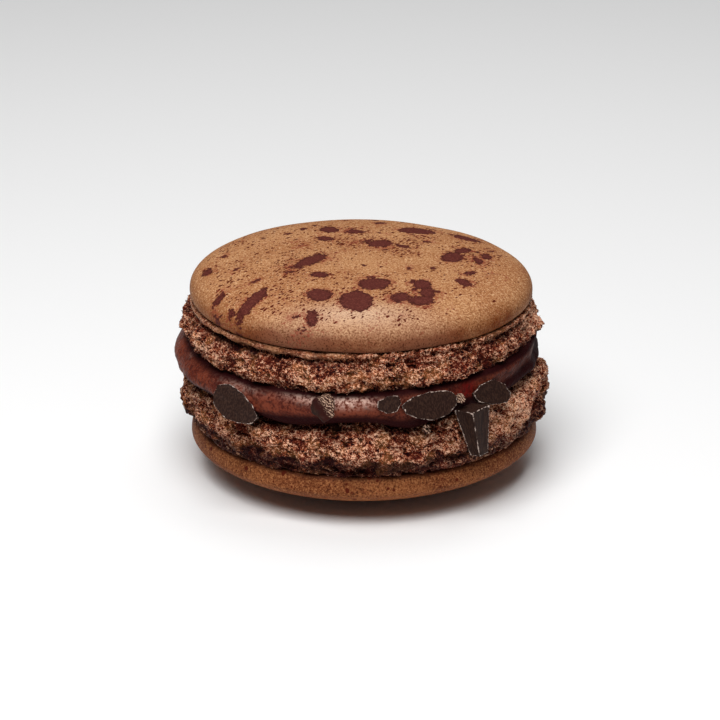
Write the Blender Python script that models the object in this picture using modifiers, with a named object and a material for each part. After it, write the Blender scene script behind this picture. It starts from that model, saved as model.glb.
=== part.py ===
"""A macaron: two ruffled shells, a soft filling between them and chocolate pieces pressed into it.

Metres, +Z up. The origin is the centre of the flat spot that the bottom shell rests on, and the
front, where the chocolate pieces are, faces -Y. Angles go round the macaron from +X towards +Y.
"""
import math
from collections import namedtuple

import bmesh
import bpy
from mathutils import Matrix, Vector, noise

MM = 0.001
PART_NAME = "macaron"

# Driving sizes of the shells
TOP_CAP_RADIUS = 22.5 * MM
BOTTOM_CAP_RADIUS = 23.0 * MM
TOP_FOOT_RADIUS = 23.4 * MM
BOTTOM_FOOT_RADIUS = 23.9 * MM
FILLING_RADIUS = 23.9 * MM
RESTING_RADIUS = 9.0 * MM

# How far each layer tucks in from the radii above
RIM_TUCK = 0.15 * MM
CREASE_TUCK = 0.7 * MM
RIBBON_TUCK = 0.1 * MM
TOP_FOOT_TUCK = 0.4 * MM
BOTTOM_FOOT_TUCK = 0.6 * MM
FILLING_TUCK = 1.8 * MM

# Heights above the surface that it stands on, from the bottom up
BOTTOM_RIM = 5.0 * MM
BOTTOM_TUCK_START = 6.1 * MM
BOTTOM_CREASE = 7.0 * MM
BOTTOM_FOOT_BELLY = 10.6 * MM
LOWER_JOIN = 15.0 * MM
FILLING_BELLY = 16.8 * MM
UPPER_JOIN = 19.0 * MM
TOP_FOOT_BELLY = 20.6 * MM
TOP_GROOVE = 22.6 * MM
RIBBON_BOTTOM = 22.9 * MM
RIBBON_TOP = 23.4 * MM
TOP_CREASE = 23.8 * MM
TOP_TUCK_START = 24.2 * MM
TOP_RIM = 24.8 * MM
CROWN_RISE = 4.4 * MM

# Curves of the caps
CROWN_FLATNESS = 3.2
CROWN_ROUNDNESS = 2.3
BASE_FLATNESS = 1.2
BASE_ROUNDNESS = 1.75
BELLY_FULLNESS = 0.7

# Neighbours keep this gap
GAP = 0.3 * MM

# Fineness of the solids
TURN_STEPS = 112
CROWN_ROWS = 7
BASE_ROWS = 6
FOOT_ROWS = 9
FILLING_ROWS = 6

# Sideways slip of each layer along X, by height
LAYER_SLIP = (
    (BOTTOM_CREASE, 0.0),
    (BOTTOM_FOOT_BELLY, 0.1 * MM),
    (LOWER_JOIN, 0.0),
    (FILLING_BELLY, -1.2 * MM),
    (UPPER_JOIN, -0.2 * MM),
    (TOP_CREASE, -0.4 * MM),
)

# Both joins of the filling rise towards +X, and a little at both sides
JOIN_TILT = 0.7 * MM
JOIN_SADDLE = 0.2 * MM

# The lower join dips where the filling sags: (angle, depth, half width)
FILLING_SAGS = (
    (math.radians(-166), 0.5 * MM, math.radians(9)),
    (math.radians(-115), 0.8 * MM, math.radians(12)),
    (math.radians(-74), 1.4 * MM, math.radians(9)),
    (math.radians(22), 0.7 * MM, math.radians(12)),
    (math.radians(84), 1.0 * MM, math.radians(11)),
    (math.radians(131), 0.6 * MM, math.radians(13)),
)

# Relief of the ruffled feet
CRAG_SPACING = 3.6 * MM
CRAG_DEPTH = 1.8 * MM
CRAG_MIDDLE = 0.45
LAYER_SPACING = 2.2 * MM
LAYER_LENGTH = 7.0 * MM
LAYER_DEPTH = 0.8 * MM
FOOT_EDGE = 0.16
TOP_FOOT_SEED = 3.0
BOTTOM_FOOT_SEED = 11.0

# Relief of the soft filling, which fades out towards its edges
FILLING_LUMP_SPACING = 9.0 * MM
FILLING_LUMP_DEPTH = 0.6 * MM
FILLING_EDGE = 1.0 * MM

# Every layer is a little out of round: (waves round it, where the first crest is)
OUT_OF_ROUND = 0.15 * MM
OUT_OF_ROUND_WAVES = ((2, math.radians(-17)), (3, math.radians(8)))

# A chocolate piece: the angle, radius and height of its middle, its size, the angle that its face
# looks to, how far that face leans to the sky, its roll in the plane of the face, its sides, and
# the size of its buried end against the end that shows. Degrees and millimetres.
Piece = namedtuple(
    "Piece", "name angle radius height length width thick facing lean roll sides buried"
)

PIECES = (
    Piece("piece_left_slab", -131.0, 24.8, 15.5, 7.0, 3.9, 1.6, -108.0, 27, -31, 10, 0.92),
    Piece("piece_nib", -101.7, 23.7, 17.1, 3.2, 3.6, 3.0, -101.7, 14, 8, 6, 0.8),
    Piece("piece_small", -82.2, 23.8, 17.6, 3.2, 2.3, 1.4, -82.2, 21, 12, 7, 0.9),
    Piece("piece_oval", -69.6, 23.9, 17.0, 7.5, 3.6, 1.5, -69.6, 21, 2, 10, 0.9),
    Piece("piece_right", -46.8, 23.6, 16.55, 5.8, 3.2, 1.5, -55.0, 20, -12, 8, 0.9),
    Piece("piece_shard", -55.2, 25.1, 12.75, 3.4, 4.5, 6.5, 180.0, 81, 0, 4, 0.5),
    Piece("piece_back_right", 36.0, 23.4, 17.5, 6.2, 3.6, 1.6, 36.0, 14, 18, 9, 0.9),
    Piece("piece_back_nib", 66.0, 23.6, 17.0, 3.4, 3.2, 2.8, 66.0, 10, -15, 6, 0.8),
    Piece("piece_back_slab", 104.0, 24.0, 16.6, 7.6, 3.8, 1.6, 104.0, 16, -8, 10, 0.9),
    Piece("piece_back_left", 150.0, 24.8, 16.6, 4.6, 3.2, 1.5, 150.0, 12, 25, 8, 0.9),
)
PIECE_UNEVENNESS = 0.07
PIECE_CHIPS_ROUND = 3
PIECE_BEVEL = 0.18 * MM


def clear_scene():
    """Remove every object that the file opened with."""
    for old in list(bpy.data.objects):
        bpy.data.objects.remove(old, do_unlink=True)


def new_collection(name):
    """Add a collection to the scene."""
    collection = bpy.data.collections.new(name)
    bpy.context.scene.collection.children.link(collection)
    return collection


def finish(name, colour, roughness):
    """Make a plain finish for one layer."""
    material = bpy.data.materials.new(name)
    material.use_nodes = True
    shader = material.node_tree.nodes["Principled BSDF"]
    shader.inputs["Base Color"].default_value = (*colour, 1.0)
    shader.inputs["Roughness"].default_value = roughness
    shader.inputs["Metallic"].default_value = 0.0
    return material


def ease(t):
    """Go smoothly from 0 to 1."""
    t = min(max(t, 0.0), 1.0)
    return t * t * (3.0 - 2.0 * t)


def through_levels(height, levels):
    """Read a value at a height from (height, value) levels, going smoothly between them."""
    if height <= levels[0][0]:
        return levels[0][1]
    for (low, low_value), (high, high_value) in zip(levels, levels[1:]):
        if height <= high:
            return low_value + (high_value - low_value) * ease((height - low) / (high - low))
    return levels[-1][1]


def turn_difference(angle, centre):
    """Return the signed angle from a centre, between -pi and pi."""
    return (angle - centre + math.pi) % math.tau - math.pi


def join_rise(angle):
    """Return how far both joins of the filling rise at an angle."""
    return JOIN_TILT * math.cos(angle) + JOIN_SADDLE * math.cos(2 * angle)


def sag(angle):
    """Return how far the lower join dips at an angle."""
    return sum(
        depth * math.exp(-((turn_difference(angle, centre) / width) ** 2))
        for centre, depth, width in FILLING_SAGS
    )


def layered(point):
    """Carry a point of the evenly turned macaron to its place in the real, uneven one."""
    radius = math.hypot(point.x, point.y)
    angle = math.atan2(point.y, point.x)
    outward = ease(radius / TOP_CAP_RADIUS)
    rise = through_levels(
        point.z,
        (
            (BOTTOM_CREASE, 0.0),
            (LOWER_JOIN, join_rise(angle) - sag(angle)),
            (UPPER_JOIN, join_rise(angle)),
            (TOP_CREASE, 0.0),
        ),
    )
    wobble = sum(math.cos(waves * (angle - crest)) for waves, crest in OUT_OF_ROUND_WAVES)
    radius += OUT_OF_ROUND * wobble * outward
    return Vector((
        radius * math.cos(angle) + through_levels(point.z, LAYER_SLIP) * outward,
        radius * math.sin(angle),
        point.z + rise * outward,
    ))


def foot_relief(point, low, high, seed):
    """Return the outward relief of a ruffled foot between two heights: crags and ragged layers."""
    part_way = (point.z - low) / (high - low)
    window = ease(part_way / FOOT_EDGE) * ease((1.0 - part_way) / FOOT_EDGE)
    nearest = noise.voronoi(point / CRAG_SPACING + Vector((seed, 0.0, 0.0)))[0][0]
    squeezed = Vector((point.x / LAYER_LENGTH, point.y / LAYER_LENGTH, point.z / LAYER_SPACING))
    layers = noise.noise(squeezed + Vector((0.0, seed, 0.0)))
    return window * (CRAG_DEPTH * (CRAG_MIDDLE - nearest) + LAYER_DEPTH * layers)


def filling_relief(point):
    """Return the outward relief of the soft filling."""
    window = ease((point.z - LOWER_JOIN) / FILLING_EDGE) * ease((UPPER_JOIN - point.z) / FILLING_EDGE)
    return window * FILLING_LUMP_DEPTH * noise.noise(point / FILLING_LUMP_SPACING)


def crown_outline():
    """List the top cap's (radius, height) points from the axis down to its rim."""
    points = []
    for row in range(CROWN_ROWS + 1):
        reach = math.sin(0.5 * math.pi * row / CROWN_ROWS)
        rise = (1.0 - reach ** CROWN_FLATNESS) ** (1.0 / CROWN_ROUNDNESS)
        points.append((TOP_CAP_RADIUS * reach, TOP_RIM + CROWN_RISE * rise))
    return points


def base_outline():
    """List the bottom cap's (radius, height) points from its rim down to the axis."""
    points = []
    for row in range(BASE_ROWS + 1):
        reach = math.cos(0.5 * math.pi * row / BASE_ROWS)
        rise = 1.0 - (1.0 - reach ** BASE_FLATNESS) ** (1.0 / BASE_ROUNDNESS)
        radius = RESTING_RADIUS + (BOTTOM_CAP_RADIUS - RESTING_RADIUS) * reach
        points.append((radius, BOTTOM_RIM * rise))
    points.append((0.0, 0.0))
    return points


def belly_outline(top, belly, bottom, belly_radius, edge_radius, rows):
    """List the (radius, height) points of a rounded side, from its top edge to its bottom edge."""
    points = []
    for row in range(rows + 1):
        swing = math.pi * row / rows
        bulge = math.sin(swing) ** BELLY_FULLNESS
        height = belly + (top - belly if swing < math.pi / 2 else belly - bottom) * math.cos(swing)
        points.append((edge_radius + (belly_radius - edge_radius) * bulge, height))
    return points


def top_shell_outline():
    """List the top shell's points: cap, crease, thin ribbon, groove, foot and flat underside."""
    underside = UPPER_JOIN + GAP / 2
    tucks = [
        (TOP_CAP_RADIUS - RIM_TUCK, TOP_TUCK_START),
        (TOP_CAP_RADIUS - CREASE_TUCK, TOP_CREASE),
        (TOP_CAP_RADIUS - RIBBON_TUCK, RIBBON_TOP),
        (TOP_CAP_RADIUS, RIBBON_BOTTOM),
    ]
    foot = belly_outline(TOP_GROOVE, TOP_FOOT_BELLY, underside, TOP_FOOT_RADIUS,
                         TOP_CAP_RADIUS - TOP_FOOT_TUCK, FOOT_ROWS)
    return crown_outline() + tucks + foot + [(0.0, underside)]


def bottom_shell_outline():
    """List the bottom shell's points: flat top, foot, crease and cap."""
    upside = LOWER_JOIN - GAP / 2
    foot = belly_outline(upside, BOTTOM_FOOT_BELLY, BOTTOM_CREASE, BOTTOM_FOOT_RADIUS,
                         BOTTOM_CAP_RADIUS - BOTTOM_FOOT_TUCK, FOOT_ROWS)
    tuck = [(BOTTOM_CAP_RADIUS - RIM_TUCK, BOTTOM_TUCK_START)]
    return [(0.0, upside)] + foot + tuck + base_outline()


def filling_outline():
    """List the filling's points: flat top, belly and flat underside."""
    top = UPPER_JOIN - GAP / 2
    bottom = LOWER_JOIN + GAP / 2
    side = belly_outline(top, FILLING_BELLY, bottom, FILLING_RADIUS,
                         FILLING_RADIUS - FILLING_TUCK, FILLING_ROWS)
    return [(0.0, top)] + side + [(0.0, bottom)]


def turned(name, outline):
    """Turn an outline about Z and return the closed mesh."""
    profile = bpy.data.meshes.new(name + "_outline")
    rungs = [(row, row + 1) for row in range(len(outline) - 1)]
    profile.from_pydata([(radius, 0.0, height) for radius, height in outline], rungs, [])
    lathe = bpy.data.objects.new(name + "_lathe", profile)
    bpy.context.scene.collection.objects.link(lathe)
    screw = lathe.modifiers.new("Turn", "SCREW")
    screw.steps = TURN_STEPS
    screw.render_steps = TURN_STEPS
    screw.use_merge_vertices = True
    screw.merge_threshold = 0.01 * MM
    seen = lathe.evaluated_get(bpy.context.evaluated_depsgraph_get())
    mesh = bpy.data.meshes.new_from_object(seen)
    mesh.name = name
    bpy.data.objects.remove(lathe, do_unlink=True)
    return mesh


def uneven(mesh, relief):
    """Push each vertex outwards by its relief, then carry it to its uneven layer."""
    for vertex in mesh.vertices:
        point = vertex.co.copy()
        flat = Vector((point.x, point.y, 0.0))
        if flat.length > MM:
            point += flat.normalized() * relief(point)
        vertex.co = layered(point)


def place_object(name, mesh, material, collection):
    """Make an object of a mesh, with its finish."""
    mesh.materials.clear()
    mesh.materials.append(material)
    placed = bpy.data.objects.new(name, mesh)
    collection.objects.link(placed)
    return placed


def cut_pockets(layer, cutters):
    """Cut the pockets that the chocolate pieces sit in."""
    cut = layer.modifiers.new("Pockets", "BOOLEAN")
    cut.operation = "DIFFERENCE"
    cut.operand_type = "COLLECTION"
    cut.collection = cutters
    cut.solver = "EXACT"


def piece_place(piece):
    """Return the matrix that puts a chocolate piece in its place."""
    angle = math.radians(piece.angle)
    look = math.radians(piece.facing)
    lean = math.radians(piece.lean)
    roll = math.radians(piece.roll)
    outward = Vector((math.cos(look), math.sin(look), 0.0))
    along = Vector((-math.sin(look), math.cos(look), 0.0))
    upward = Vector((0.0, 0.0, 1.0))
    facing = outward * math.cos(lean) + upward * math.sin(lean)
    rising = upward * math.cos(lean) - outward * math.sin(lean)
    long_axis = along * math.cos(roll) + rising * math.sin(roll)
    short_axis = rising * math.cos(roll) - along * math.sin(roll)
    turn = Matrix((long_axis, short_axis, facing)).transposed().to_4x4()
    middle = Vector((math.cos(angle) * piece.radius, math.sin(angle) * piece.radius, piece.height))
    return Matrix.Translation(middle * MM) @ turn


def piece_mesh(piece, extra):
    """Make a chipped slab or shard, larger all round by an extra."""
    bm = bmesh.new()
    bmesh.ops.create_cone(
        bm, cap_ends=True, cap_tris=False, segments=piece.sides,
        radius1=piece.buried, radius2=1.0, depth=piece.thick * MM + 2 * extra,
    )
    for vertex in bm.verts:
        corner = math.atan2(vertex.co.y, vertex.co.x)
        chipped = 1.0 + PIECE_UNEVENNESS * math.sin(PIECE_CHIPS_ROUND * corner + piece.angle)
        vertex.co.x *= chipped * (piece.length * MM / 2 + extra)
        vertex.co.y *= chipped * (piece.width * MM / 2 + extra)
    if extra == 0.0:
        bmesh.ops.bevel(bm, geom=bm.edges[:], affect="EDGES", offset=PIECE_BEVEL, segments=1,
                        profile=0.5, material=-1)
    mesh = bpy.data.meshes.new(piece.name)
    bm.to_mesh(mesh)
    bm.free()
    return mesh


def build():
    """Build the macaron and return its collection."""
    clear_scene()
    parts = new_collection(PART_NAME)
    cutters = new_collection("pocket_cutters")
    shell_finish = finish("tan_shell", (0.42, 0.24, 0.13), 0.6)
    filling_finish = finish("chocolate_filling", (0.16, 0.05, 0.03), 0.35)
    piece_finish = finish("dark_chocolate", (0.04, 0.02, 0.015), 0.45)

    for piece in PIECES:
        solid = place_object(piece.name, piece_mesh(piece, 0.0), piece_finish, parts)
        solid.matrix_world = piece_place(piece)
        cutter = place_object(piece.name + "_pocket", piece_mesh(piece, GAP), piece_finish, cutters)
        cutter.matrix_world = piece_place(piece)
        cutter.hide_render = True
        cutter.display_type = "WIRE"

    layers = (
        ("top_shell", top_shell_outline(), shell_finish,
         lambda point: foot_relief(point, UPPER_JOIN, TOP_GROOVE, TOP_FOOT_SEED)),
        ("filling", filling_outline(), filling_finish, filling_relief),
        ("bottom_shell", bottom_shell_outline(), shell_finish,
         lambda point: foot_relief(point, BOTTOM_CREASE, LOWER_JOIN, BOTTOM_FOOT_SEED)),
    )
    for name, outline, material, relief in layers:
        mesh = turned(name, outline)
        uneven(mesh, relief)
        mesh.shade_smooth()
        cut_pockets(place_object(name, mesh, material, parts), cutters)
    return parts


build()
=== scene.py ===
"""The looks of a filled macaron: spattered caps, ruffled feet, chocolate cream and cut chocolate.

Metres, +Z up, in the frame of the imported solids. The front, with the chocolate pieces, faces -Y.
Angles go round the macaron from +X towards +Y.
"""
import logging
import math
import random
from dataclasses import dataclass
from enum import Enum
from typing import Callable, Iterable, Sequence

import bmesh
import bpy
import numpy as np
from mathutils import Matrix, Vector, noise


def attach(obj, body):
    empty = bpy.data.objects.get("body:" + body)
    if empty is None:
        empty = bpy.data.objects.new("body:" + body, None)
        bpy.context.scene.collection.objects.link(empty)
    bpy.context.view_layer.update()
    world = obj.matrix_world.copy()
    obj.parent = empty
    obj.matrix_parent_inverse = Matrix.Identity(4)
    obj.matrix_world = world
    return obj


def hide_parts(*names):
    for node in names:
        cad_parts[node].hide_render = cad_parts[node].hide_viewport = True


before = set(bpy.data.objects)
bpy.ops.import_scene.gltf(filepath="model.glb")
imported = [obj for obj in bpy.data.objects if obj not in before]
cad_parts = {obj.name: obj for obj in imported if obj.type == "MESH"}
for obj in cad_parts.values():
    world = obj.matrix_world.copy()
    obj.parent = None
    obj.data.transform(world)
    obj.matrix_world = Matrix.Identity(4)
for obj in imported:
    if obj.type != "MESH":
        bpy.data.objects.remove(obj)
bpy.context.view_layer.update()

MM = 0.001
LOG = logging.getLogger("macaron")
# How much nearer one cell's centre is than the next where the wall between them ends.
WALL_WIDTH = 0.4
# How far a rounded grain reaches from its middle, as a share of the spacing.
DOME_REACH = 0.85
# How far the rings on a chocolate face lie from its edge, in millimetres.
FACE_RINGS = (0.0, 0.1, 0.22, 0.4, 0.7)

Outline = list[tuple[float, float]]
Colour = tuple[float, float, float]


class Slot(Enum):
    """The record's material slots."""

    SHELL = "shell"
    FILLING = "filling"
    CHOCOLATE = "chocolate"


class Mask(Enum):
    """The vertex attributes that the finishes read."""

    COCOA = "cocoa_depth"
    DUST = "cocoa_dust"
    # Partly baked colour, partly painted shade, at a cap's rim and at the base's crease.
    BAKED = "baked_rim"
    RAISED = "raised_crumb"
    CALM = "calm_ribbon"
    STAIN = "cream_stain"
    TONE = "crumb_tone"
    EDGE = "edge_distance"
    BROKEN = "broken_face"
    BLOOM = "pale_bloom"


def ease(t: np.ndarray | float) -> np.ndarray:
    """Go smoothly from 0 to 1.

    Args:
        t: How far along, from 0 to 1; it is clamped.

    Returns:
        The eased values.
    """
    t = np.clip(t, 0.0, 1.0)
    return t * t * (3.0 - 2.0 * t)


def through_levels(height: np.ndarray, levels: Sequence[tuple]) -> np.ndarray:
    """Read a value at each height from (height, value) levels, smoothly between them.

    Args:
        height: The heights to read at.
        levels: Rising heights, each with a number or an array as long as the heights.

    Returns:
        The value at each height.
    """
    value = np.broadcast_to(np.asarray(levels[0][1], dtype=float), height.shape).copy()
    for (low, low_value), (high, high_value) in zip(levels, levels[1:]):
        step = np.asarray(high_value, dtype=float) - np.asarray(low_value, dtype=float)
        value = value + step * ease((height - low) / (high - low))
    return value


def read_points(mesh: bpy.types.Mesh) -> np.ndarray:
    """Read a mesh's vertices.

    Args:
        mesh: The mesh.

    Returns:
        A row of three coordinates for each vertex.
    """
    flat = np.empty(len(mesh.vertices) * 3)
    mesh.vertices.foreach_get("co", flat)
    return flat.reshape(-1, 3)


def read_normals(mesh: bpy.types.Mesh) -> np.ndarray:
    """Read a mesh's vertex normals.

    Args:
        mesh: The mesh.

    Returns:
        A row of three numbers for each vertex.
    """
    flat = np.empty(len(mesh.vertices) * 3)
    mesh.vertex_normals.foreach_get("vector", flat)
    return flat.reshape(-1, 3)


def write_points(mesh: bpy.types.Mesh, points: np.ndarray) -> None:
    """Put rows of an array back as a mesh's vertices."""
    mesh.vertices.foreach_set("co", points.ravel())
    mesh.update()


def write_mask(mesh: bpy.types.Mesh, mask: Mask, values: np.ndarray) -> None:
    """Store a value for each vertex under a mask's name."""
    layer = mesh.attributes.new(mask.value, "FLOAT", "POINT")
    layer.data.foreach_set("value", np.asarray(values, dtype=np.float32))


def read_mask(mesh: bpy.types.Mesh, mask: Mask) -> np.ndarray:
    """Read a stored mask.

    Args:
        mesh: The mesh that it was stored on.
        mask: Which mask.

    Returns:
        The value at each vertex.
    """
    values = np.empty(len(mesh.vertices), dtype=np.float32)
    mesh.attributes[mask.value].data.foreach_get("value", values)
    return values


def sample(points: np.ndarray, reader: Callable[[Vector], float]) -> np.ndarray:
    """Read a function of place at each point."""
    return np.fromiter((reader(Vector(row)) for row in points.tolist()), float, len(points))


def nearest_cell(point: Vector) -> float:
    """Return the distance to the nearest of the scattered cell centres."""
    return noise.voronoi(point)[0][0]


def wall_gap(point: Vector) -> float:
    """Return how much nearer the nearest cell centre is than the next one, 0 between cells."""
    reach = noise.voronoi(point)[0]
    return reach[1] - reach[0]


def walls(points: np.ndarray, spacing: float, seed: float) -> np.ndarray:
    """Fill space with bubbles.

    Args:
        points: Where to read.
        spacing: The distance from bubble to bubble.
        seed: Where the pattern starts.

    Returns:
        1 on the thin walls between the bubbles, down to 0 inside them.
    """
    return np.clip(1.0 - sample(points / spacing + seed, wall_gap) / WALL_WIDTH, 0.0, 1.0)


def domes(points: np.ndarray, spacing: float, seed: float) -> np.ndarray:
    """Cover space with rounded grains.

    Args:
        points: Where to read.
        spacing: The distance from grain to grain.
        seed: Where the pattern starts.

    Returns:
        1 at the middle of each grain, down to about 0 in the creases between them.
    """
    reach = sample(points / spacing + seed, nearest_cell)
    return np.clip(1.0 - (reach / DOME_REACH) ** 2, 0.0, 1.0)


def waves(points: np.ndarray, spacing: float, seed: float) -> np.ndarray:
    """Read smooth noise between about -0.6 and 0.6.

    Args:
        points: Where to read.
        spacing: The size of its features.
        seed: Where the pattern starts.

    Returns:
        The noise at each point.
    """
    return sample(points / spacing + seed, noise.noise)


def hill(away: np.ndarray, width: float) -> np.ndarray:
    """Return 1 where a distance is 0, falling off smoothly over a width."""
    return np.exp(-((away / width) ** 2))


def flattened(points: np.ndarray, factor: float) -> np.ndarray:
    """Return points with their heights times a factor, so that noise read there lies flatter."""
    return points * np.array((1.0, 1.0, factor))


@dataclass(frozen=True)
class Layering:
    """The uneven form that all layers share, the same as in the solids."""

    resting_radius: float = 9.0 * MM
    bottom_rim: float = 5.0 * MM
    bottom_crease: float = 7.0 * MM
    bottom_belly: float = 10.6 * MM
    lower_join: float = 15.0 * MM
    filling_belly: float = 16.8 * MM
    upper_join: float = 19.0 * MM
    top_belly: float = 20.6 * MM
    groove: float = 22.6 * MM
    top_crease: float = 23.8 * MM
    top_rim: float = 24.8 * MM
    crown_rise: float = 4.4 * MM
    top_cap_radius: float = 22.5 * MM
    bottom_cap_radius: float = 23.0 * MM
    top_foot_radius: float = 23.4 * MM
    bottom_foot_radius: float = 23.9 * MM
    filling_radius: float = 23.9 * MM
    join_tilt: float = 0.7 * MM
    join_saddle: float = 0.2 * MM
    out_of_round: float = 0.15 * MM
    round_waves: tuple = ((2, math.radians(-17)), (3, math.radians(8)))
    slips: tuple = (
        (bottom_crease, 0.0),
        (bottom_belly, 0.1 * MM),
        (lower_join, 0.0),
        (filling_belly, -1.2 * MM),
        (upper_join, -0.2 * MM),
        (top_crease, -0.4 * MM),
    )
    sags: tuple = (
        (math.radians(-166), 0.5 * MM, math.radians(9)),
        (math.radians(-115), 0.8 * MM, math.radians(12)),
        (math.radians(-74), 1.4 * MM, math.radians(9)),
        (math.radians(22), 0.7 * MM, math.radians(12)),
        (math.radians(84), 1.0 * MM, math.radians(11)),
        (math.radians(131), 0.6 * MM, math.radians(13)),
    )

    def join_rise(self, angle: np.ndarray) -> np.ndarray:
        """Return how far both joins of the filling rise at each angle."""
        return self.join_tilt * np.cos(angle) + self.join_saddle * np.cos(2 * angle)

    def sag(self, angle: np.ndarray) -> np.ndarray:
        """Work out how far the lower join dips.

        Args:
            angle: The angles to work at.

        Returns:
            The dip at each angle.
        """
        dip = np.zeros_like(angle)
        for centre, depth, width in self.sags:
            apart = (angle - centre + math.pi) % math.tau - math.pi
            dip += depth * hill(apart, width)
        return dip

    def carry(self, points: np.ndarray) -> np.ndarray:
        """Carry points of an evenly turned macaron to the real, uneven one.

        Args:
            points: Points of the even shape.

        Returns:
            Their places in the uneven shape.
        """
        radius = np.hypot(points[:, 0], points[:, 1])
        angle = np.arctan2(points[:, 1], points[:, 0])
        height = points[:, 2]
        outward = ease(radius / self.top_cap_radius)
        rise = self.join_rise(angle)
        level = np.zeros_like(angle)
        lift = through_levels(height, (
            (self.bottom_crease, level),
            (self.lower_join, rise - self.sag(angle)),
            (self.upper_join, rise),
            (self.top_crease, level),
        ))
        slip = through_levels(height, self.slips)
        wobble = sum(np.cos(count * (angle - crest)) for count, crest in self.round_waves)
        radius = radius + self.out_of_round * wobble * outward
        return np.stack((
            radius * np.cos(angle) + slip * outward,
            radius * np.sin(angle),
            height + lift * outward,
        ), axis=1)


FORM = Layering()


def arc(centre: tuple[float, float], reach: tuple[float, float], start: float, end: float,
        rows: int) -> Outline:
    """List points of an ellipse's arc in the (radius, height) plane.

    Args:
        centre: The ellipse's centre.
        reach: Its half sizes along radius and height.
        start: The first angle, in degrees from outwards towards up.
        end: The last angle.
        rows: How many steps to take.

    Returns:
        The points, from the first angle to the last.
    """
    turns = np.radians(np.linspace(start, end, rows + 1))
    return [(centre[0] + reach[0] * math.cos(t), centre[1] + reach[1] * math.sin(t)) for t in turns]


def belly(top: float, middle: float, bottom: float, radius: float, edge_radius: float,
          rows: int, fullness: float = 0.7) -> Outline:
    """List the points of a rounded side, from its top edge down, as the solids have it.

    Args:
        top: Height of the top edge.
        middle: Height of the widest point.
        bottom: Height of the bottom edge.
        radius: Radius at the widest point.
        edge_radius: Radius at both edges.
        rows: How many steps to take.
        fullness: How boxy the side is, less for boxier.

    Returns:
        The (radius, height) points.
    """
    points = []
    for row in range(rows + 1):
        swing = math.pi * row / rows
        bulge = math.sin(swing) ** fullness
        span = top - middle if swing < math.pi / 2 else middle - bottom
        points.append((edge_radius + (radius - edge_radius) * bulge,
                       middle + span * math.cos(swing)))
    return points


def even_steps(outline: Outline, spacing: float) -> Outline:
    """Put new points along an outline at even steps.

    Args:
        outline: The (radius, height) points to follow.
        spacing: The distance to keep from point to point.

    Returns:
        The evenly spaced points.
    """
    path = np.array(outline)
    runs = np.hypot(*np.diff(path, axis=0).T)
    along = np.concatenate(([0.0], np.cumsum(runs)))
    stops = np.linspace(0.0, along[-1], max(2, round(along[-1] / spacing)) + 1)
    return list(zip(np.interp(stops, along, path[:, 0]), np.interp(stops, along, path[:, 1])))


def turned(name: str, outline: Outline, steps: int, doublings: int = 5) -> bpy.types.Mesh:
    """Turn an outline that starts and ends on the axis into a closed mesh.

    Args:
        name: The mesh's name.
        outline: The (radius, height) points from the top of the axis to its bottom.
        steps: How many steps make the full turn, a multiple of two to the power of doublings.
        doublings: How often the first wedge is doubled to fill the turn.

    Returns:
        The closed mesh, facing outwards.
    """
    bm = bmesh.new()
    stations = [bm.verts.new((radius, 0.0, height)) for radius, height in outline]
    rungs = [bm.edges.new(pair) for pair in zip(stations, stations[1:])]
    filled = math.tau / 2 ** doublings
    bmesh.ops.spin(bm, geom=stations + rungs, cent=(0, 0, 0), axis=(0, 0, 1), angle=filled,
                   steps=steps // 2 ** doublings, use_merge=False)
    for _ in range(doublings):
        wedge = bm.verts[:] + bm.edges[:] + bm.faces[:]
        copied = bmesh.ops.duplicate(bm, geom=wedge)["geom"]
        corners = [part for part in copied if isinstance(part, bmesh.types.BMVert)]
        bmesh.ops.rotate(bm, verts=corners, cent=(0, 0, 0), matrix=Matrix.Rotation(filled, 3, "Z"))
        filled *= 2.0
    bmesh.ops.remove_doubles(bm, verts=bm.verts[:], dist=0.001 * MM)
    bmesh.ops.recalc_face_normals(bm, faces=bm.faces[:])
    mesh = bpy.data.meshes.new(name)
    bm.to_mesh(mesh)
    bm.free()
    return mesh


def show(mesh: bpy.types.Mesh, material: bpy.types.Material, slot: Slot, *nodes: str,
         smooth: bool = True) -> bpy.types.Object:
    """Put a finished mesh in the scene as a piece of the macaron.

    Args:
        mesh: The mesh, in place.
        material: Its finish.
        slot: Not used.
        nodes: The solids that it stands for.
        smooth: Whether its faces are shaded as one surface.

    Returns:
        The piece's object.
    """
    if smooth:
        mesh.shade_smooth()
    mesh.materials.append(material)
    piece = bpy.data.objects.new(mesh.name, mesh)
    bpy.context.scene.collection.objects.link(piece)
    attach(piece, "root")
    if nodes:
        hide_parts(*nodes)
    LOG.info("%s: %d faces", piece.name, len(mesh.polygons))
    return piece


class Wire:
    """A number that a node gives. Arithmetic on it adds Math nodes."""

    def __init__(self, bench: "Bench", socket: bpy.types.NodeSocket) -> None:
        """Hold a node's output and the bench that it is on."""
        self.bench = bench
        self.socket = socket

    def __add__(self, other: "Wire | float") -> "Wire":
        """Add."""
        return self.bench.maths("ADD", self, other)

    def __sub__(self, other: "Wire | float") -> "Wire":
        """Take away."""
        return self.bench.maths("SUBTRACT", self, other)

    def __rsub__(self, other: float) -> "Wire":
        """Take this from a number."""
        return self.bench.maths("SUBTRACT", other, self)

    def __mul__(self, other: "Wire | float") -> "Wire":
        """Multiply."""
        return self.bench.maths("MULTIPLY", self, other)

    __radd__ = __add__
    __rmul__ = __mul__


Feed = Wire | float | tuple


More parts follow.
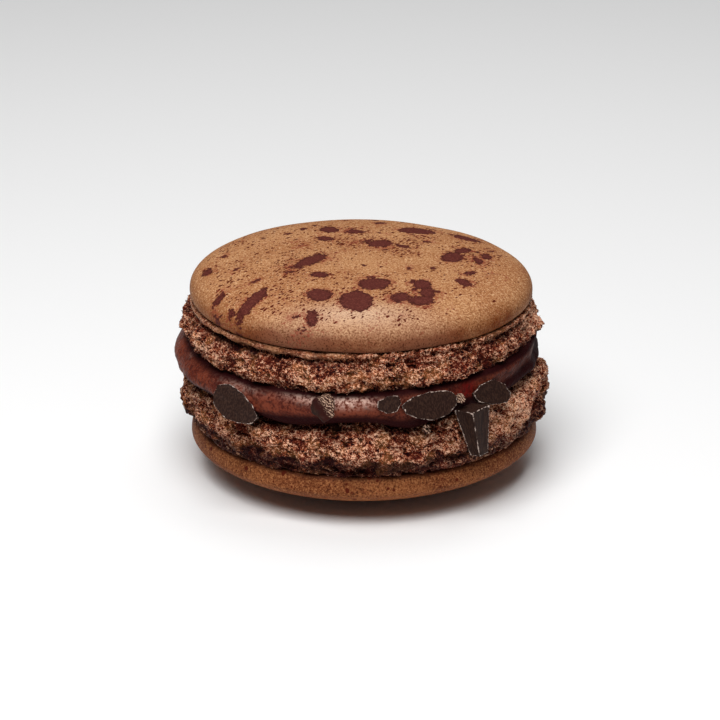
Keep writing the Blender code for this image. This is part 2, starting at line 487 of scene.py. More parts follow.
class Bench:
    """A material's node tree, and the one way that nodes are added to it."""

    def __init__(self, name: str) -> None:
        """Start a material with its Principled shader.

        Args:
            name: The material's name.
        """
        self.material = bpy.data.materials.new(name)
        self.material.use_nodes = True
        self.tree = self.material.node_tree
        self.shader = self.tree.nodes["Principled BSDF"]
        self.place = self.add("ShaderNodeTexCoord", out="Object")

    def add(self, kind: str, settings: dict | None = None, feeds: dict[str, Feed] | None = None,
            out: str | int = 0) -> Wire:
        """Add a node.

        Args:
            kind: The node's type.
            settings: Its properties, with "stops" for a ramp's (place, value) pairs.
            feeds: Values or wires for its inputs, by identifier or name.
            out: The identifier, name or number of the output wanted.

        Returns:
            The wanted output.
        """
        node = self.tree.nodes.new(kind)
        for key, value in (settings or {}).items():
            if key == "stops":
                self.set_stops(node.color_ramp, value)
            else:
                setattr(node, key, value)
        for key, value in (feeds or {}).items():
            self.feed(self.find(node.inputs, key), value)
        return Wire(self, self.find(node.outputs, out))

    def set_stops(self, ramp: bpy.types.ColorRamp, stops: Sequence[tuple[float, Colour]]) -> None:
        """Give a ramp its stops.

        Args:
            ramp: The ramp, with at most as many stops as are given.
            stops: The (place, colour) pairs.
        """
        while len(ramp.elements) < len(stops):
            ramp.elements.new(1.0)
        for element, (place, colour) in zip(ramp.elements, stops):
            element.position = place
            element.color = (*colour, 1.0)

    def find(self, sockets: bpy.types.bpy_prop_collection, key: str | int) -> bpy.types.NodeSocket:
        """Find a socket.

        Args:
            sockets: The inputs or outputs of a node.
            key: The socket's number, identifier or name.

        Returns:
            The socket.
        """
        if isinstance(key, int):
            return sockets[key]
        for socket in sockets:
            if key == socket.identifier:
                return socket
        return sockets[key]

    def feed(self, socket: bpy.types.NodeSocket, value: Feed) -> None:
        """Link a wire to an input, or set its value.

        Args:
            socket: The input.
            value: A wire, a number, a vector or a colour.
        """
        if isinstance(value, Wire):
            self.tree.links.new(value.socket, socket)
        elif isinstance(value, tuple) and len(value) == 3 and socket.type == "RGBA":
            socket.default_value = (*value, 1.0)
        else:
            socket.default_value = value

    def maths(self, operation: str, first: Wire | float, second: Wire | float) -> Wire:
        """Add a Math node on two numbers.

        Args:
            operation: The node's operation.
            first: Its first number.
            second: Its second number.

        Returns:
            The result.
        """
        node = self.tree.nodes.new("ShaderNodeMath")
        node.operation = operation
        self.feed(node.inputs[0], first)
        self.feed(node.inputs[1], second)
        return Wire(self, node.outputs[0])

    def mask(self, mask: Mask) -> Wire:
        """Read a vertex mask."""
        return self.add("ShaderNodeAttribute", {"attribute_name": mask.value}, out="Fac")

    def between(self, value: Wire, low: float, high: float) -> Wire:
        """Go smoothly from 0 to 1 as a value goes from low to high."""
        return self.add(
            "ShaderNodeMapRange", {"interpolation_type": "SMOOTHSTEP"},
            {"Value": value, "From Min": low, "From Max": high, "To Min": 0.0, "To Max": 1.0},
        )

    def stretched(self, stretch: tuple[float, float, float]) -> Wire:
        """Return the object's coordinates times a factor along each axis."""
        return self.add("ShaderNodeMapping", None, {"Vector": self.place, "Scale": stretch})

    def cloud(self, spacing: float, detail: float = 2.0, stretch: tuple | None = None,
              swirl: float = 0.0) -> Wire:
        """Read noise with features of a spacing.

        Args:
            spacing: The size of the features.
            detail: How many finer octaves are added.
            stretch: Factors for the coordinates along X, Y and Z.
            swirl: How much the noise is folded into threads.

        Returns:
            The noise, about 0.3 to 0.7.
        """
        place = self.stretched(stretch) if stretch else self.place
        return self.add(
            "ShaderNodeTexNoise", None,
            {"Vector": place, "Scale": 1.0 / spacing, "Detail": detail, "Distortion": swirl},
        )

    def slanted(self, turn: float, aspect: float) -> Wire:
        """Return the coordinates turned about Z and drawn out, to lengthen marks that way."""
        return self.add("ShaderNodeMapping", {"vector_type": "TEXTURE"},
                        {"Vector": self.place, "Rotation": (0.0, 0.0, turn),
                         "Scale": (1.0, 1.0 / aspect, 1.0)})

    def strands(self, weave: Wire, thick: float) -> Wire:
        """Draw thin threads along the lines where a noise passes through its middle value."""
        return self.between(self.maths("ABSOLUTE", weave - 0.5, 0.0), thick, thick * 0.25)

    def specks(self, spacing: float, amount: Wire, largest: float, level: bool = True,
               place: Wire | None = None) -> Wire:
        """Scatter crisp specks of uneven size.

        Args:
            spacing: The distance from place to place for a speck.
            amount: The share of the places that have one, from 0 to 1.
            largest: The radius of the largest speck, as a share of the spacing.
            level: Whether they lie on a level surface, so that only X and Y count.
            place: The coordinates to use, the object's own where not given.

        Returns:
            1 on a speck and 0 beside it.
        """
        cells = self.add("ShaderNodeTexVoronoi", {"voronoi_dimensions": "2D" if level else "3D"},
                         {"Vector": place or self.place, "Scale": 1.0 / spacing})
        certain, crisp, smallest = 25.0, 14.0, 0.4
        pick = Wire(self, cells.socket.node.outputs["Color"])
        chance = self.add("ShaderNodeSeparateColor", None, {"Color": pick})
        found = self.clamp((chance - 1.0 + amount) * certain)
        size = Wire(self, chance.socket.node.outputs["Green"])
        reach = found * (size * size * (1.0 - smallest) + smallest) * largest
        return self.clamp((reach - cells) * crisp)

    def clamp(self, value: Wire) -> Wire:
        """Keep a number between 0 and 1."""
        return self.add("ShaderNodeClamp", None, {"Value": value})

    def mix(self, amount: Wire | float, first: Feed, second: Feed) -> Wire:
        """Mix two colours."""
        return self.add(
            "ShaderNodeMix", {"data_type": "RGBA"},
            {"Factor_Float": amount, "A_Color": first, "B_Color": second}, out="Result_Color",
        )

    def ramp(self, value: Wire, stops: Sequence[tuple[float, Colour]]) -> Wire:
        """Turn a number into a colour."""
        return self.add("ShaderNodeValToRGB", {"stops": stops}, {"Fac": value}, out="Color")

    def bump(self, height: Wire, depth: float, strength: float = 1.0) -> None:
        """Raise the surface by a height of 0 to 1, times a depth."""
        normal = self.add("ShaderNodeBump", None,
                          {"Height": height, "Distance": depth, "Strength": strength}, out="Normal")
        self.feed(self.shader.inputs["Normal"], normal)

    def finish(self, **values: Feed) -> bpy.types.Material:
        """Feed the Principled shader's inputs.

        Args:
            values: The values or wires, by the inputs' names with underscores for spaces.

        Returns:
            The finished material.
        """
        for key, value in values.items():
            self.feed(self.shader.inputs[key.replace("_", " ")], value)
        return self.material


def srgb(red: int, green: int, blue: int) -> Colour:
    """Turn a colour as seen on screen into the linear values that shaders take.

    Args:
        red: Red, 0 to 255.
        green: Green, 0 to 255.
        blue: Blue, 0 to 255.

    Returns:
        The colour, with each channel from 0 to 1.
    """
    def linear(value: int) -> float:
        """Turn one channel."""
        share = value / 255.0
        return share / 12.92 if share <= 0.04045 else ((share + 0.055) / 1.055) ** 2.4

    return linear(red), linear(green), linear(blue)


@dataclass(frozen=True)
class CapFinish:
    """The smooth matt skin of a cap, with its fine grain, a rim darkened partly by baking and
    partly by painted shade, and cocoa spatter.
    """

    name: str
    tan: Colour = srgb(180, 128, 86)
    deep: Colour = srgb(166, 112, 72)
    pale: Colour = srgb(222, 180, 138)
    grit: Colour = srgb(122, 72, 40)
    baked_and_shaded: Colour = srgb(108, 48, 8)
    scorched: Colour = srgb(62, 24, 8)
    haze: Colour = srgb(132, 58, 42)
    speck: Colour = srgb(84, 28, 12)
    cocoa: Colour = srgb(84, 37, 31)
    cocoa_pale: Colour = srgb(116, 60, 48)
    cocoa_edge: Colour = srgb(62, 24, 18)
    sheen: Colour = srgb(236, 212, 190)
    spatter: bool = True
    grain_size: float = 0.2 * MM
    sand_size: float = 0.36 * MM
    fine_speck: float = 0.46 * MM
    coarse_speck: float = 1.0 * MM
    largest_speck: float = 0.46
    slant: float = math.radians(52)
    drawn_out: float = 2.2
    grain_depth: float = 0.06 * MM
    roughness: float = 0.6
    shine: float = 0.06

    def material(self) -> bpy.types.Material:
        """Build the material.

        Returns:
            The material, ready for a piece.
        """
        bench = Bench(self.name)
        grain = bench.cloud(self.grain_size)
        sand = bench.cloud(self.sand_size)
        rough = grain + sand * 0.5
        colour = bench.mix(bench.between(bench.cloud(6.0 * MM, 3.0), 0.35, 0.65), self.deep,
                           self.tan)
        patchy = bench.cloud(1.4 * MM, 3.0)
        # The rim darkens towards the lip, partly as a baked tint and partly as painted shade where
        # the surface turns under. The grit is darker there too.
        rim = bench.clamp(bench.mask(Mask.BAKED) * (patchy * 0.8 + sand * 0.9 + 0.2))
        colour = bench.mix(rim, colour, self.baked_and_shaded)
        # A pale spot at the front of the crown is a painted highlight.
        colour = bench.mix(bench.mask(Mask.BLOOM), colour, self.sheen)
        light = bench.between(rough, 0.77, 0.93)
        colour = bench.mix(light * (0.62 - rim * 0.6), colour, self.pale)
        burnt = bench.mix(rim, self.grit, self.scorched)
        colour = bench.mix(bench.between(rough, 0.73, 0.57) * 0.8, colour, burnt)
        dust = bench.mask(Mask.DUST)
        veil = bench.between(bench.cloud(0.9 * MM, 3.0) + sand * 1.4, 1.14, 1.38)
        colour = bench.mix(bench.clamp(dust * veil * 0.45), colour, self.haze)
        fine = bench.specks(self.fine_speck, dust * 0.85, self.largest_speck, self.spatter)
        slanted = bench.slanted(self.slant, self.drawn_out) if self.spatter else None
        coarse = bench.specks(self.coarse_speck, dust * 0.95, self.largest_speck, self.spatter,
                              slanted)
        colour = bench.mix(bench.clamp(fine + coarse), colour, self.speck)
        if self.spatter:
            ragged = (bench.cloud(0.4 * MM, 4.0) - 0.5) * 1.3 + (bench.cloud(1.3 * MM) - 0.5) * 0.9
            depth = bench.mask(Mask.COCOA) + ragged
            flung = (bench.cloud(0.32 * MM, 2.0) - 0.5) * 5.0 + (bench.cloud(2.5 * MM) - 0.5) * 3.0
            colour = bench.mix(bench.between(depth + flung, -0.1, 0.15) * 0.6, colour, self.haze)
            middle = bench.mix(bench.between(depth + sand * 0.4, 0.2, 0.7), self.cocoa_edge,
                               self.cocoa)
            middle = bench.mix(bench.between(rough, 0.74, 0.9) * 0.5, middle, self.cocoa_pale)
            colour = bench.mix(bench.between(depth, -0.03, 0.03), colour, middle)
        bench.bump(grain + sand, self.grain_depth, 0.8)
        return bench.finish(Base_Color=colour, Roughness=self.roughness,
                            Specular_IOR_Level=self.shine)


@dataclass(frozen=True)
class CrumbFinish:
    """The open crumb of a ruffled foot, with painted shade in the pits and painted highlight on the
    tips and on thin glinting strands.
    """

    name: str
    stops: tuple = (
        (0.0, srgb(26, 5, 7)),
        (0.22, srgb(64, 15, 12)),
        (0.42, srgb(112, 46, 29)),
        (0.62, srgb(156, 78, 51)),
        (0.8, srgb(200, 120, 82)),
        (0.92, srgb(242, 164, 126)),
        (1.0, srgb(255, 206, 172)),
    )
    stain_and_shade: Colour = srgb(38, 13, 15)
    red: Colour = srgb(112, 38, 24)
    golden: Colour = srgb(206, 140, 80)
    ribbon: Colour = srgb(168, 118, 82)
    ribbon_low: Colour = srgb(118, 68, 46)
    thread_size: float = 0.34 * MM
    weave_size: float = 0.7 * MM
    fibre_size: float = 0.36 * MM
    strand_width: float = 0.07
    relief_depth: float = 0.14 * MM
    roughness: float = 0.4
    shine: float = 0.05

    def material(self) -> bpy.types.Material:
        """Build the material.

        Returns:
            The material, ready for a piece.
        """
        bench = Bench(self.name)
        thread = bench.cloud(self.thread_size, 1.0, (1.0, 1.0, 1.3), 1.0)
        weave = bench.cloud(self.weave_size, 2.0, (1.0, 1.0, 1.7), 1.2)
        broad = bench.strands(weave, self.strand_width)
        fibres = bench.cloud(self.fibre_size, 1.0, swirl=0.8)
        thin = bench.strands(fibres, self.strand_width)
        lit = bench.between(bench.cloud(0.9 * MM, 2.0), 0.42, 0.56)
        # Painted shade in the pits, painted highlight on the tips, and thin strands of painted
        # glints.
        level = bench.mask(Mask.RAISED) * 0.65 + (thread - 0.5) * 2.8 + (weave - 0.5) * 0.5
        level = level + (broad * 0.25 + thin * 0.6) * (lit * 0.6 + 0.6) - 0.06
        level = level + bench.mask(Mask.TONE) - bench.mask(Mask.STAIN) * 0.3
        colour = bench.ramp(level, self.stops)
        patches = bench.cloud(2.2 * MM, 3.0)
        colour = bench.mix(bench.between(patches, 0.5, 0.64) * 0.35, colour, self.red)
        colour = bench.mix(bench.between(patches, 0.48, 0.36) * 0.2, colour, self.golden)
        blotchy = bench.cloud(1.2 * MM, 3.0)
        skin = bench.mix(bench.between(thread + blotchy, 0.8, 1.16), self.ribbon_low, self.ribbon)
        colour = bench.mix(bench.mask(Mask.CALM), colour, skin)
        # Darker near the cream, in the crease and under the ribbon: partly cream stain, partly
        # painted shade.
        colour = bench.mix(bench.mask(Mask.STAIN) * 0.78, colour, self.stain_and_shade)
        bench.bump(thread + broad * 0.5 + thin * 0.4, self.relief_depth, 0.9)
        return bench.finish(Base_Color=colour, Roughness=self.roughness,
                            Specular_IOR_Level=self.shine)


@dataclass(frozen=True)
class CreamFinish:
    """Soft chocolate cream with a satin shine."""

    name: str
    cream: Colour = srgb(80, 32, 23)
    red: Colour = srgb(114, 54, 37)
    dark: Colour = srgb(38, 6, 7)
    jam: Colour = srgb(124, 16, 16)
    painted_highlight: Colour = srgb(226, 190, 174)
    fine_size: float = 0.32 * MM
    wrinkle_size: float = 0.58 * MM
    drag_size: float = 1.5 * MM
    relief_depth: float = 0.2 * MM
    shine: float = 0.06

    def material(self) -> bpy.types.Material:
        """Build the material.

        Returns:
            The material, ready for a piece.
        """
        bench = Bench(self.name)
        drag = bench.cloud(self.drag_size, 3.0, (1.0, 1.0, 1.9), 0.6)
        fine = bench.cloud(self.fine_size)
        wrinkle = bench.cloud(self.wrinkle_size, swirl=1.0)
        warm = bench.cloud(3.6 * MM, 2.0) * 0.7 + wrinkle * 0.8 + fine * 0.5
        colour = bench.mix(bench.between(warm, 0.84, 1.1), self.cream, self.red)
        colour = bench.mix(bench.between(drag + wrinkle * 0.6, 0.84, 1.05) * 0.7, colour, self.dark)
        colour = bench.mix(bench.between(fine + wrinkle * 0.5, 0.74, 0.5) * 0.45, colour, self.dark)
        # Pale grainy patches of painted highlight on the cream's upper side.
        highlight_grain = bench.mask(Mask.BLOOM) * bench.between(wrinkle + fine, 0.78, 1.22)
        colour = bench.mix(highlight_grain, colour, self.painted_highlight)
        pulp = bench.between(wrinkle + fine * 0.6, 0.66, 0.9) * 0.6 + 0.3
        colour = bench.mix(bench.mask(Mask.TONE) * pulp, colour, self.jam)
        # Painted shade in the cream's crevices and on its right side.
        colour = bench.mix(bench.mask(Mask.STAIN), colour, self.dark)
        bench.bump(fine + wrinkle + drag * 0.5, self.relief_depth, 0.8)
        gloss = bench.between(fine + drag, 0.7, 1.3) * 0.2 + 0.3 + bench.mask(Mask.STAIN) * 0.3
        return bench.finish(Base_Color=colour, Roughness=gloss, Specular_IOR_Level=self.shine)


@dataclass(frozen=True)
class ChocolateFinish:
    """Dull cut chocolate with pale, broken edges."""

    name: str
    face: Colour = srgb(36, 20, 16)
    streak: Colour = srgb(56, 37, 29)
    scuff: Colour = srgb(196, 174, 162)
    torn: Colour = srgb(48, 17, 13)
    ridge: Colour = srgb(190, 156, 132)
    streak_size: float = 0.34 * MM
    speck_size: float = 0.22 * MM
    ribs_per_metre: float = 1.1 / MM
    rim_width: float = 0.02
    relief_depth: float = 0.05 * MM
    roughness: float = 0.5
    shine: float = 0.09

    def material(self) -> bpy.types.Material:
        """Build the material.

        Returns:
            The material, ready for a piece.
        """
        bench = Bench(self.name)
        streaks = bench.cloud(self.streak_size, 2.0, (2.4, 2.4, 0.22))
        speck = bench.cloud(self.speck_size)
        colour = bench.mix(bench.between(streaks + speck * 0.4, 0.6, 0.86), self.face, self.streak)
        broken = bench.mask(Mask.BROKEN)
        ribs = bench.add(
            "ShaderNodeTexWave", {"bands_direction": "DIAGONAL"},
            {"Vector": bench.place, "Scale": self.ribs_per_metre, "Distortion": 8.0,
             "Detail": 3.0, "Detail Scale": 1.5}, out="Fac",
        )
        dots = bench.cloud(0.14 * MM, 1.0)
        pale = bench.clamp(broken - 1.0) * 0.05
        rough = bench.mix(bench.between(ribs * 0.4 + dots * 1.3 + pale, 0.84, 1.04), self.torn,
                          self.ridge)
        colour = bench.mix(bench.between(broken, 0.02, 0.3), colour, self.torn)
        colour = bench.mix(bench.between(broken + speck * 0.5, 0.7, 0.95), colour, rough)
        gaps = bench.cloud(0.5 * MM, 2.0) - 0.5 + (speck - 0.5) * 1.1
        width = gaps * 0.3 + self.rim_width
        colour = bench.mix(bench.between(width - bench.mask(Mask.EDGE), -0.02, 0.03), colour,
                           self.scuff)
        bench.bump(streaks + speck, self.relief_depth, 0.5)
        return bench.finish(Base_Color=colour, Roughness=self.roughness,
                            Specular_IOR_Level=self.shine)


@dataclass(frozen=True)
class FloorFinish:
    """A plain pale floor."""

    name: str = "pale_floor"
    colour: Colour = (0.92, 0.92, 0.92)
    roughness: float = 0.9

    def material(self) -> bpy.types.Material:
        """Build the material.

        Returns:
            The material, ready for a piece.
        """
        bench = Bench(self.name)
        return bench.finish(Base_Color=self.colour, Roughness=self.roughness)


@dataclass(frozen=True)
class Blot:
    """A blot of cocoa on the top cap, in millimetres and degrees, seen from above."""

    x: float
    y: float
    length: float
    width: float
    turn: float = 0.0
    dusty: bool = False


@dataclass
class Spatter:
    """The cocoa flung over the top cap, in millimetres and degrees: blots and fine drops."""

    drops: int = 44
    seed: int = 11
    share_beside_blots: float = 0.45
    flung_from_blot: float = 2.4
    farthest: float = 20.5
    smallest_drop: float = 0.7
    longest_more: float = 0.9
    slant: float = 52.0
    slant_spread: float = 14.0
    left_dust: float = 0.3
    dust_everywhere: float = 0.08
    clean_rim: float = 21.6 * MM
    blots: tuple[Blot, ...] = (
        Blot(-20.4, -1.5, 2.8, 1.4, 88),
        Blot(-18.5, -10.6, 2.8, 1.3, 64),
        Blot(-14.2, -13.7, 6.6, 2.2, 58),
        Blot(-16.8, -14.2, 1.6, 0.9, -70),
        Blot(-18.7, -13.0, 1.2, 0.4, -60),
        Blot(-6.8, -2.0, 6.6, 2.6, 54),
        Blot(-5.6, -7.4, 2.6, 1.9, -40),
        Blot(-5.6, -13.6, 3.7, 3.2, -60),
        Blot(-6.4, -18.9, 2.6, 1.6, -85),
        Blot(-7.7, -20.5, 0.9, 0.5, -17),
        Blot(-0.9, -15.5, 5.2, 4.3, -89),
        Blot(-4.6, 11.4, 3.3, 2.6, -76),
        Blot(-5.1, 7.2, 2.6, 2.0, -41),
        Blot(-1.2, 10.0, 2.6, 1.8, -4),
        Blot(1.4, -10.5, 4.3, 3.8, 27),
        Blot(4.8, -14.3, 2.8, 2.2, 49),
        Blot(7.6, -10.4, 3.2, 2.4, 81),
        Blot(8.2, -12.7, 3.0, 2.0, 82),
        Blot(7.4, -14.9, 3.6, 2.4, 21),
        Blot(13.0, -8.6, 2.7, 1.9, -48),
        Blot(13.8, -5.4, 1.9, 1.2, 46),
        Blot(11.8, 0.2, 4.3, 2.8, 70),
        Blot(13.1, 2.9, 2.9, 1.9, 48),
        Blot(16.3, 1.6, 2.6, 1.6, -88),
        Blot(15.1, -0.5, 2.3, 1.2, -78),
        Blot(2.3, 4.8, 3.4, 2.8, 7),
        Blot(5.2, 3.8, 2.1, 1.2, -26),
        Blot(0.4, 5.8, 2.1, 1.0, 25),
        Blot(7.3, 11.1, 5.0, 3.4, 4),
        Blot(13.7, 9.6, 4.2, 2.4, -30),
        Blot(17.1, 4.6, 1.3, 0.8, 45),
        Blot(7.4, 7.2, 4.2, 2.7, 17, True),
        Blot(6.2, 1.8, 3.3, 1.2, -63, True),
        Blot(4.5, -19.8, 3.0, 1.7, -88, True),
        Blot(-9.5, -3.5, 4.5, 2.5, 50, True),
        Blot(-13.0, -17.5, 3.5, 2.0, 20, True),
        Blot(-1.5, 5.5, 4.0, 2.5, 0, True),
    )

    def fling(self) -> list[Blot]:
        """Draw the small drops, mostly on the left half and round the blots.

        Returns:
            The drops.
        """
        draw = random.Random(self.seed)
        drops = []
        while len(drops) < self.drops:
            if draw.random() < self.share_beside_blots:
                near = draw.choice(self.blots)
                x = near.x + draw.gauss(0.0, self.flung_from_blot)
                y = near.y + draw.gauss(0.0, self.flung_from_blot)
            else:
                x = draw.uniform(-21.0, 12.0)
                y = draw.uniform(-18.0, 20.0)
            if math.hypot(x, y) > self.farthest:
                continue
            length = self.smallest_drop + min(draw.expovariate(3.0), self.longest_more)
            slanted = x < -4.0
            turn = (draw.gauss(self.slant, self.slant_spread) if slanted
                    else draw.uniform(-90.0, 90.0))
            drops.append(Blot(x, y, length, length * draw.uniform(0.45, 0.85), turn))
        return drops

    def depth(self, points: np.ndarray, blots: Iterable[Blot]) -> np.ndarray:
        """Measure how far inside the nearest blot each point lies.

        Args:
            points: The points, in metres.
            blots: The blots.

        Returns:
            The depth in millimetres, below 0 outside the blots.
        """
        found = np.full(len(points), -1.0)
        for blot in blots:
            across = points[:, 0] / MM - blot.x
            back = points[:, 1] / MM - blot.y
            turn = math.radians(blot.turn)
            along = (across * math.cos(turn) + back * math.sin(turn)) / (blot.length / 2)
            aside = (back * math.cos(turn) - across * math.sin(turn)) / (blot.width / 2)
            inside = (1.0 - np.hypot(along, aside)) * blot.width / 2
            found = np.maximum(found, inside)
        return found

    def paint(self, mesh: bpy.types.Mesh) -> None:
        """Store the spatter's masks on the top cap.

        Args:
            mesh: The top cap's mesh.
        """
        points = read_points(mesh)
        solid = [blot for blot in self.blots if not blot.dusty]
        depth = self.depth(points, solid + self.fling())
        dust = np.zeros(len(points))
        for blot in self.blots:
            apart = np.hypot(points[:, 0] / MM - blot.x, points[:, 1] / MM - blot.y)
            spread = 0.5 * blot.length + (0.5 if blot.dusty else 1.0)
            heap = 0.95 if blot.dusty else 0.5
            dust += heap * hill(apart, spread)
        leftward = ease((4.0 - points[:, 0] / MM) / 20.0) * self.left_dust
        patchy = np.clip(0.75 + 1.1 * waves(points, 4.0 * MM, 7.0), 0.0, 1.5)
        dust = np.clip((dust + leftward + self.dust_everywhere) * patchy, 0.0, 1.0)
        dust *= ease((self.clean_rim - np.hypot(points[:, 0], points[:, 1])) / (1.6 * MM))
        write_mask(mesh, Mask.COCOA, depth)
        write_mask(mesh, Mask.DUST, dust)


@dataclass
class TopCap:
    """The smooth domed cap with its rolled lip."""

    steps: int = 704
    crown_rows: int = 104
    lip_rows: int = 12
    flatness: float = 3.2
    roundness: float = 2.3
    ripple: float = 0.12 * MM
    lip_width: float = 0.9 * MM
    under_width: float = 2.5 * MM
    baked_and_shaded_rise: float = 2.8 * MM
    baked_and_shaded_fade: float = 2.7 * MM
    sheen: float = 0.36
    sheen_at: tuple[float, float] = (-1.0 * MM, -18.6 * MM)
    sheen_reach: tuple[float, float] = (8.0 * MM, 2.6 * MM)

    def outline(self) -> Outline:
        """List the cap's points: crown, lip and hidden underside.

        Returns:
            The points, from the top of the axis to its bottom.
        """
        points = []
        for row in range(self.crown_rows + 1):
            reach = math.sin(0.5 * math.pi * row / self.crown_rows)
            rise = (1.0 - reach ** self.flatness) ** (1.0 / self.roundness)
            points.append((FORM.top_cap_radius * reach, FORM.top_rim + FORM.crown_rise * rise))
        drop = FORM.top_rim - FORM.top_crease
        lip = arc((FORM.top_cap_radius - self.lip_width, FORM.top_rim), (self.lip_width, drop),
                  0, -90, self.lip_rows)
        under = [(FORM.top_cap_radius - self.under_width, FORM.top_crease),
                 (0.0, FORM.top_crease)]
        return points + lip[1:] + under

    def build(self) -> bpy.types.Object:
        """Make the cap and put it in the scene.

        Returns:
            The cap's object.
        """
        mesh = turned("top_cap", self.outline(), self.steps)
        points = read_points(mesh)
        points[:, 2] += self.ripple * waves(points, 7.0 * MM, 3.0)
        # The darkening towards the rim is partly baked colour and partly painted shade, and
        # strongest at the front.
        baked_and_shaded = ease((FORM.top_rim + self.baked_and_shaded_rise - points[:, 2]) / self.baked_and_shaded_fade)
        baked_and_shaded *= 0.45 + 0.7 * np.clip(-points[:, 1] / FORM.top_cap_radius, 0.0, 1.0) ** 2
        points = FORM.carry(points)
        write_points(mesh, points)
        write_mask(mesh, Mask.BAKED, baked_and_shaded * (1.0 + 0.4 * waves(points, 5.0 * MM, 9.0)))
        # A painted highlight spot at the front of the crown.
        across = (points[:, 0] - self.sheen_at[0]) / self.sheen_reach[0]
        back = (points[:, 1] - self.sheen_at[1]) / self.sheen_reach[1]
        write_mask(mesh, Mask.BLOOM, self.sheen * np.exp(-(across ** 2 + back ** 2)))
        Spatter().paint(mesh)
        return show(mesh, CapFinish("tan_cap_skin").material(), Slot.SHELL, "top_shell")


@dataclass
class BottomCap:
    """The smooth cap underneath, which the macaron rests on."""

    steps: int = 576
    base_rows: int = 60
    flatness: float = 1.2
    roundness: float = 1.75
    lip_width: float = 0.9 * MM
    lip_rows: int = 14
    hidden_radius: float = 18.0 * MM

    def outline(self) -> Outline:
        """List the cap's points: hidden top, tucked lip, rounded side and flat spot.

        Returns:
            The points, from the top of the axis to its bottom.
        """
        lip = arc((FORM.bottom_cap_radius - self.lip_width, FORM.bottom_rim),
                  (self.lip_width, FORM.bottom_crease - FORM.bottom_rim), 90, 0, self.lip_rows)
        points = [(0.0, FORM.bottom_crease), (self.hidden_radius, FORM.bottom_crease)] + lip
        for row in range(1, self.base_rows + 1):
            reach = math.cos(0.5 * math.pi * row / self.base_rows)
            rise = 1.0 - (1.0 - reach ** self.flatness) ** (1.0 / self.roundness)
            radius = FORM.resting_radius + (FORM.bottom_cap_radius - FORM.resting_radius) * reach
            points.append((radius, FORM.bottom_rim * rise))
        points.append((0.0, 0.0))
        return points

    def build(self) -> bpy.types.Object:
        """Make the cap and put it in the scene.

        Returns:
            The cap's object.
        """
        mesh = turned("bottom_cap", self.outline(), self.steps)
        points = read_points(mesh)
        # A narrow dark line at the crease under the foot: painted shade.
        baked_and_shaded = ease((points[:, 2] - FORM.bottom_crease + 0.5 * MM) / (0.4 * MM))
        points = FORM.carry(points)
        write_points(mesh, points)
        write_mask(mesh, Mask.BAKED, baked_and_shaded * 0.7)
        write_mask(mesh, Mask.DUST, 0.12 + 0.3 * np.clip(waves(points, 5.0 * MM, 2.0), 0.0, 1.0))
        # The base takes a darker copy of the top cap's colours: painted shade for the underside,
        # which faces away from the lights.
        finish = CapFinish("tan_base_skin", tan=srgb(136, 80, 46), deep=srgb(114, 62, 34),
                           pale=srgb(176, 118, 74), grit=srgb(62, 25, 12),
                           baked_and_shaded=srgb(62, 28, 18), spatter=False)
        return show(mesh, finish.material(), Slot.SHELL, "bottom_shell")


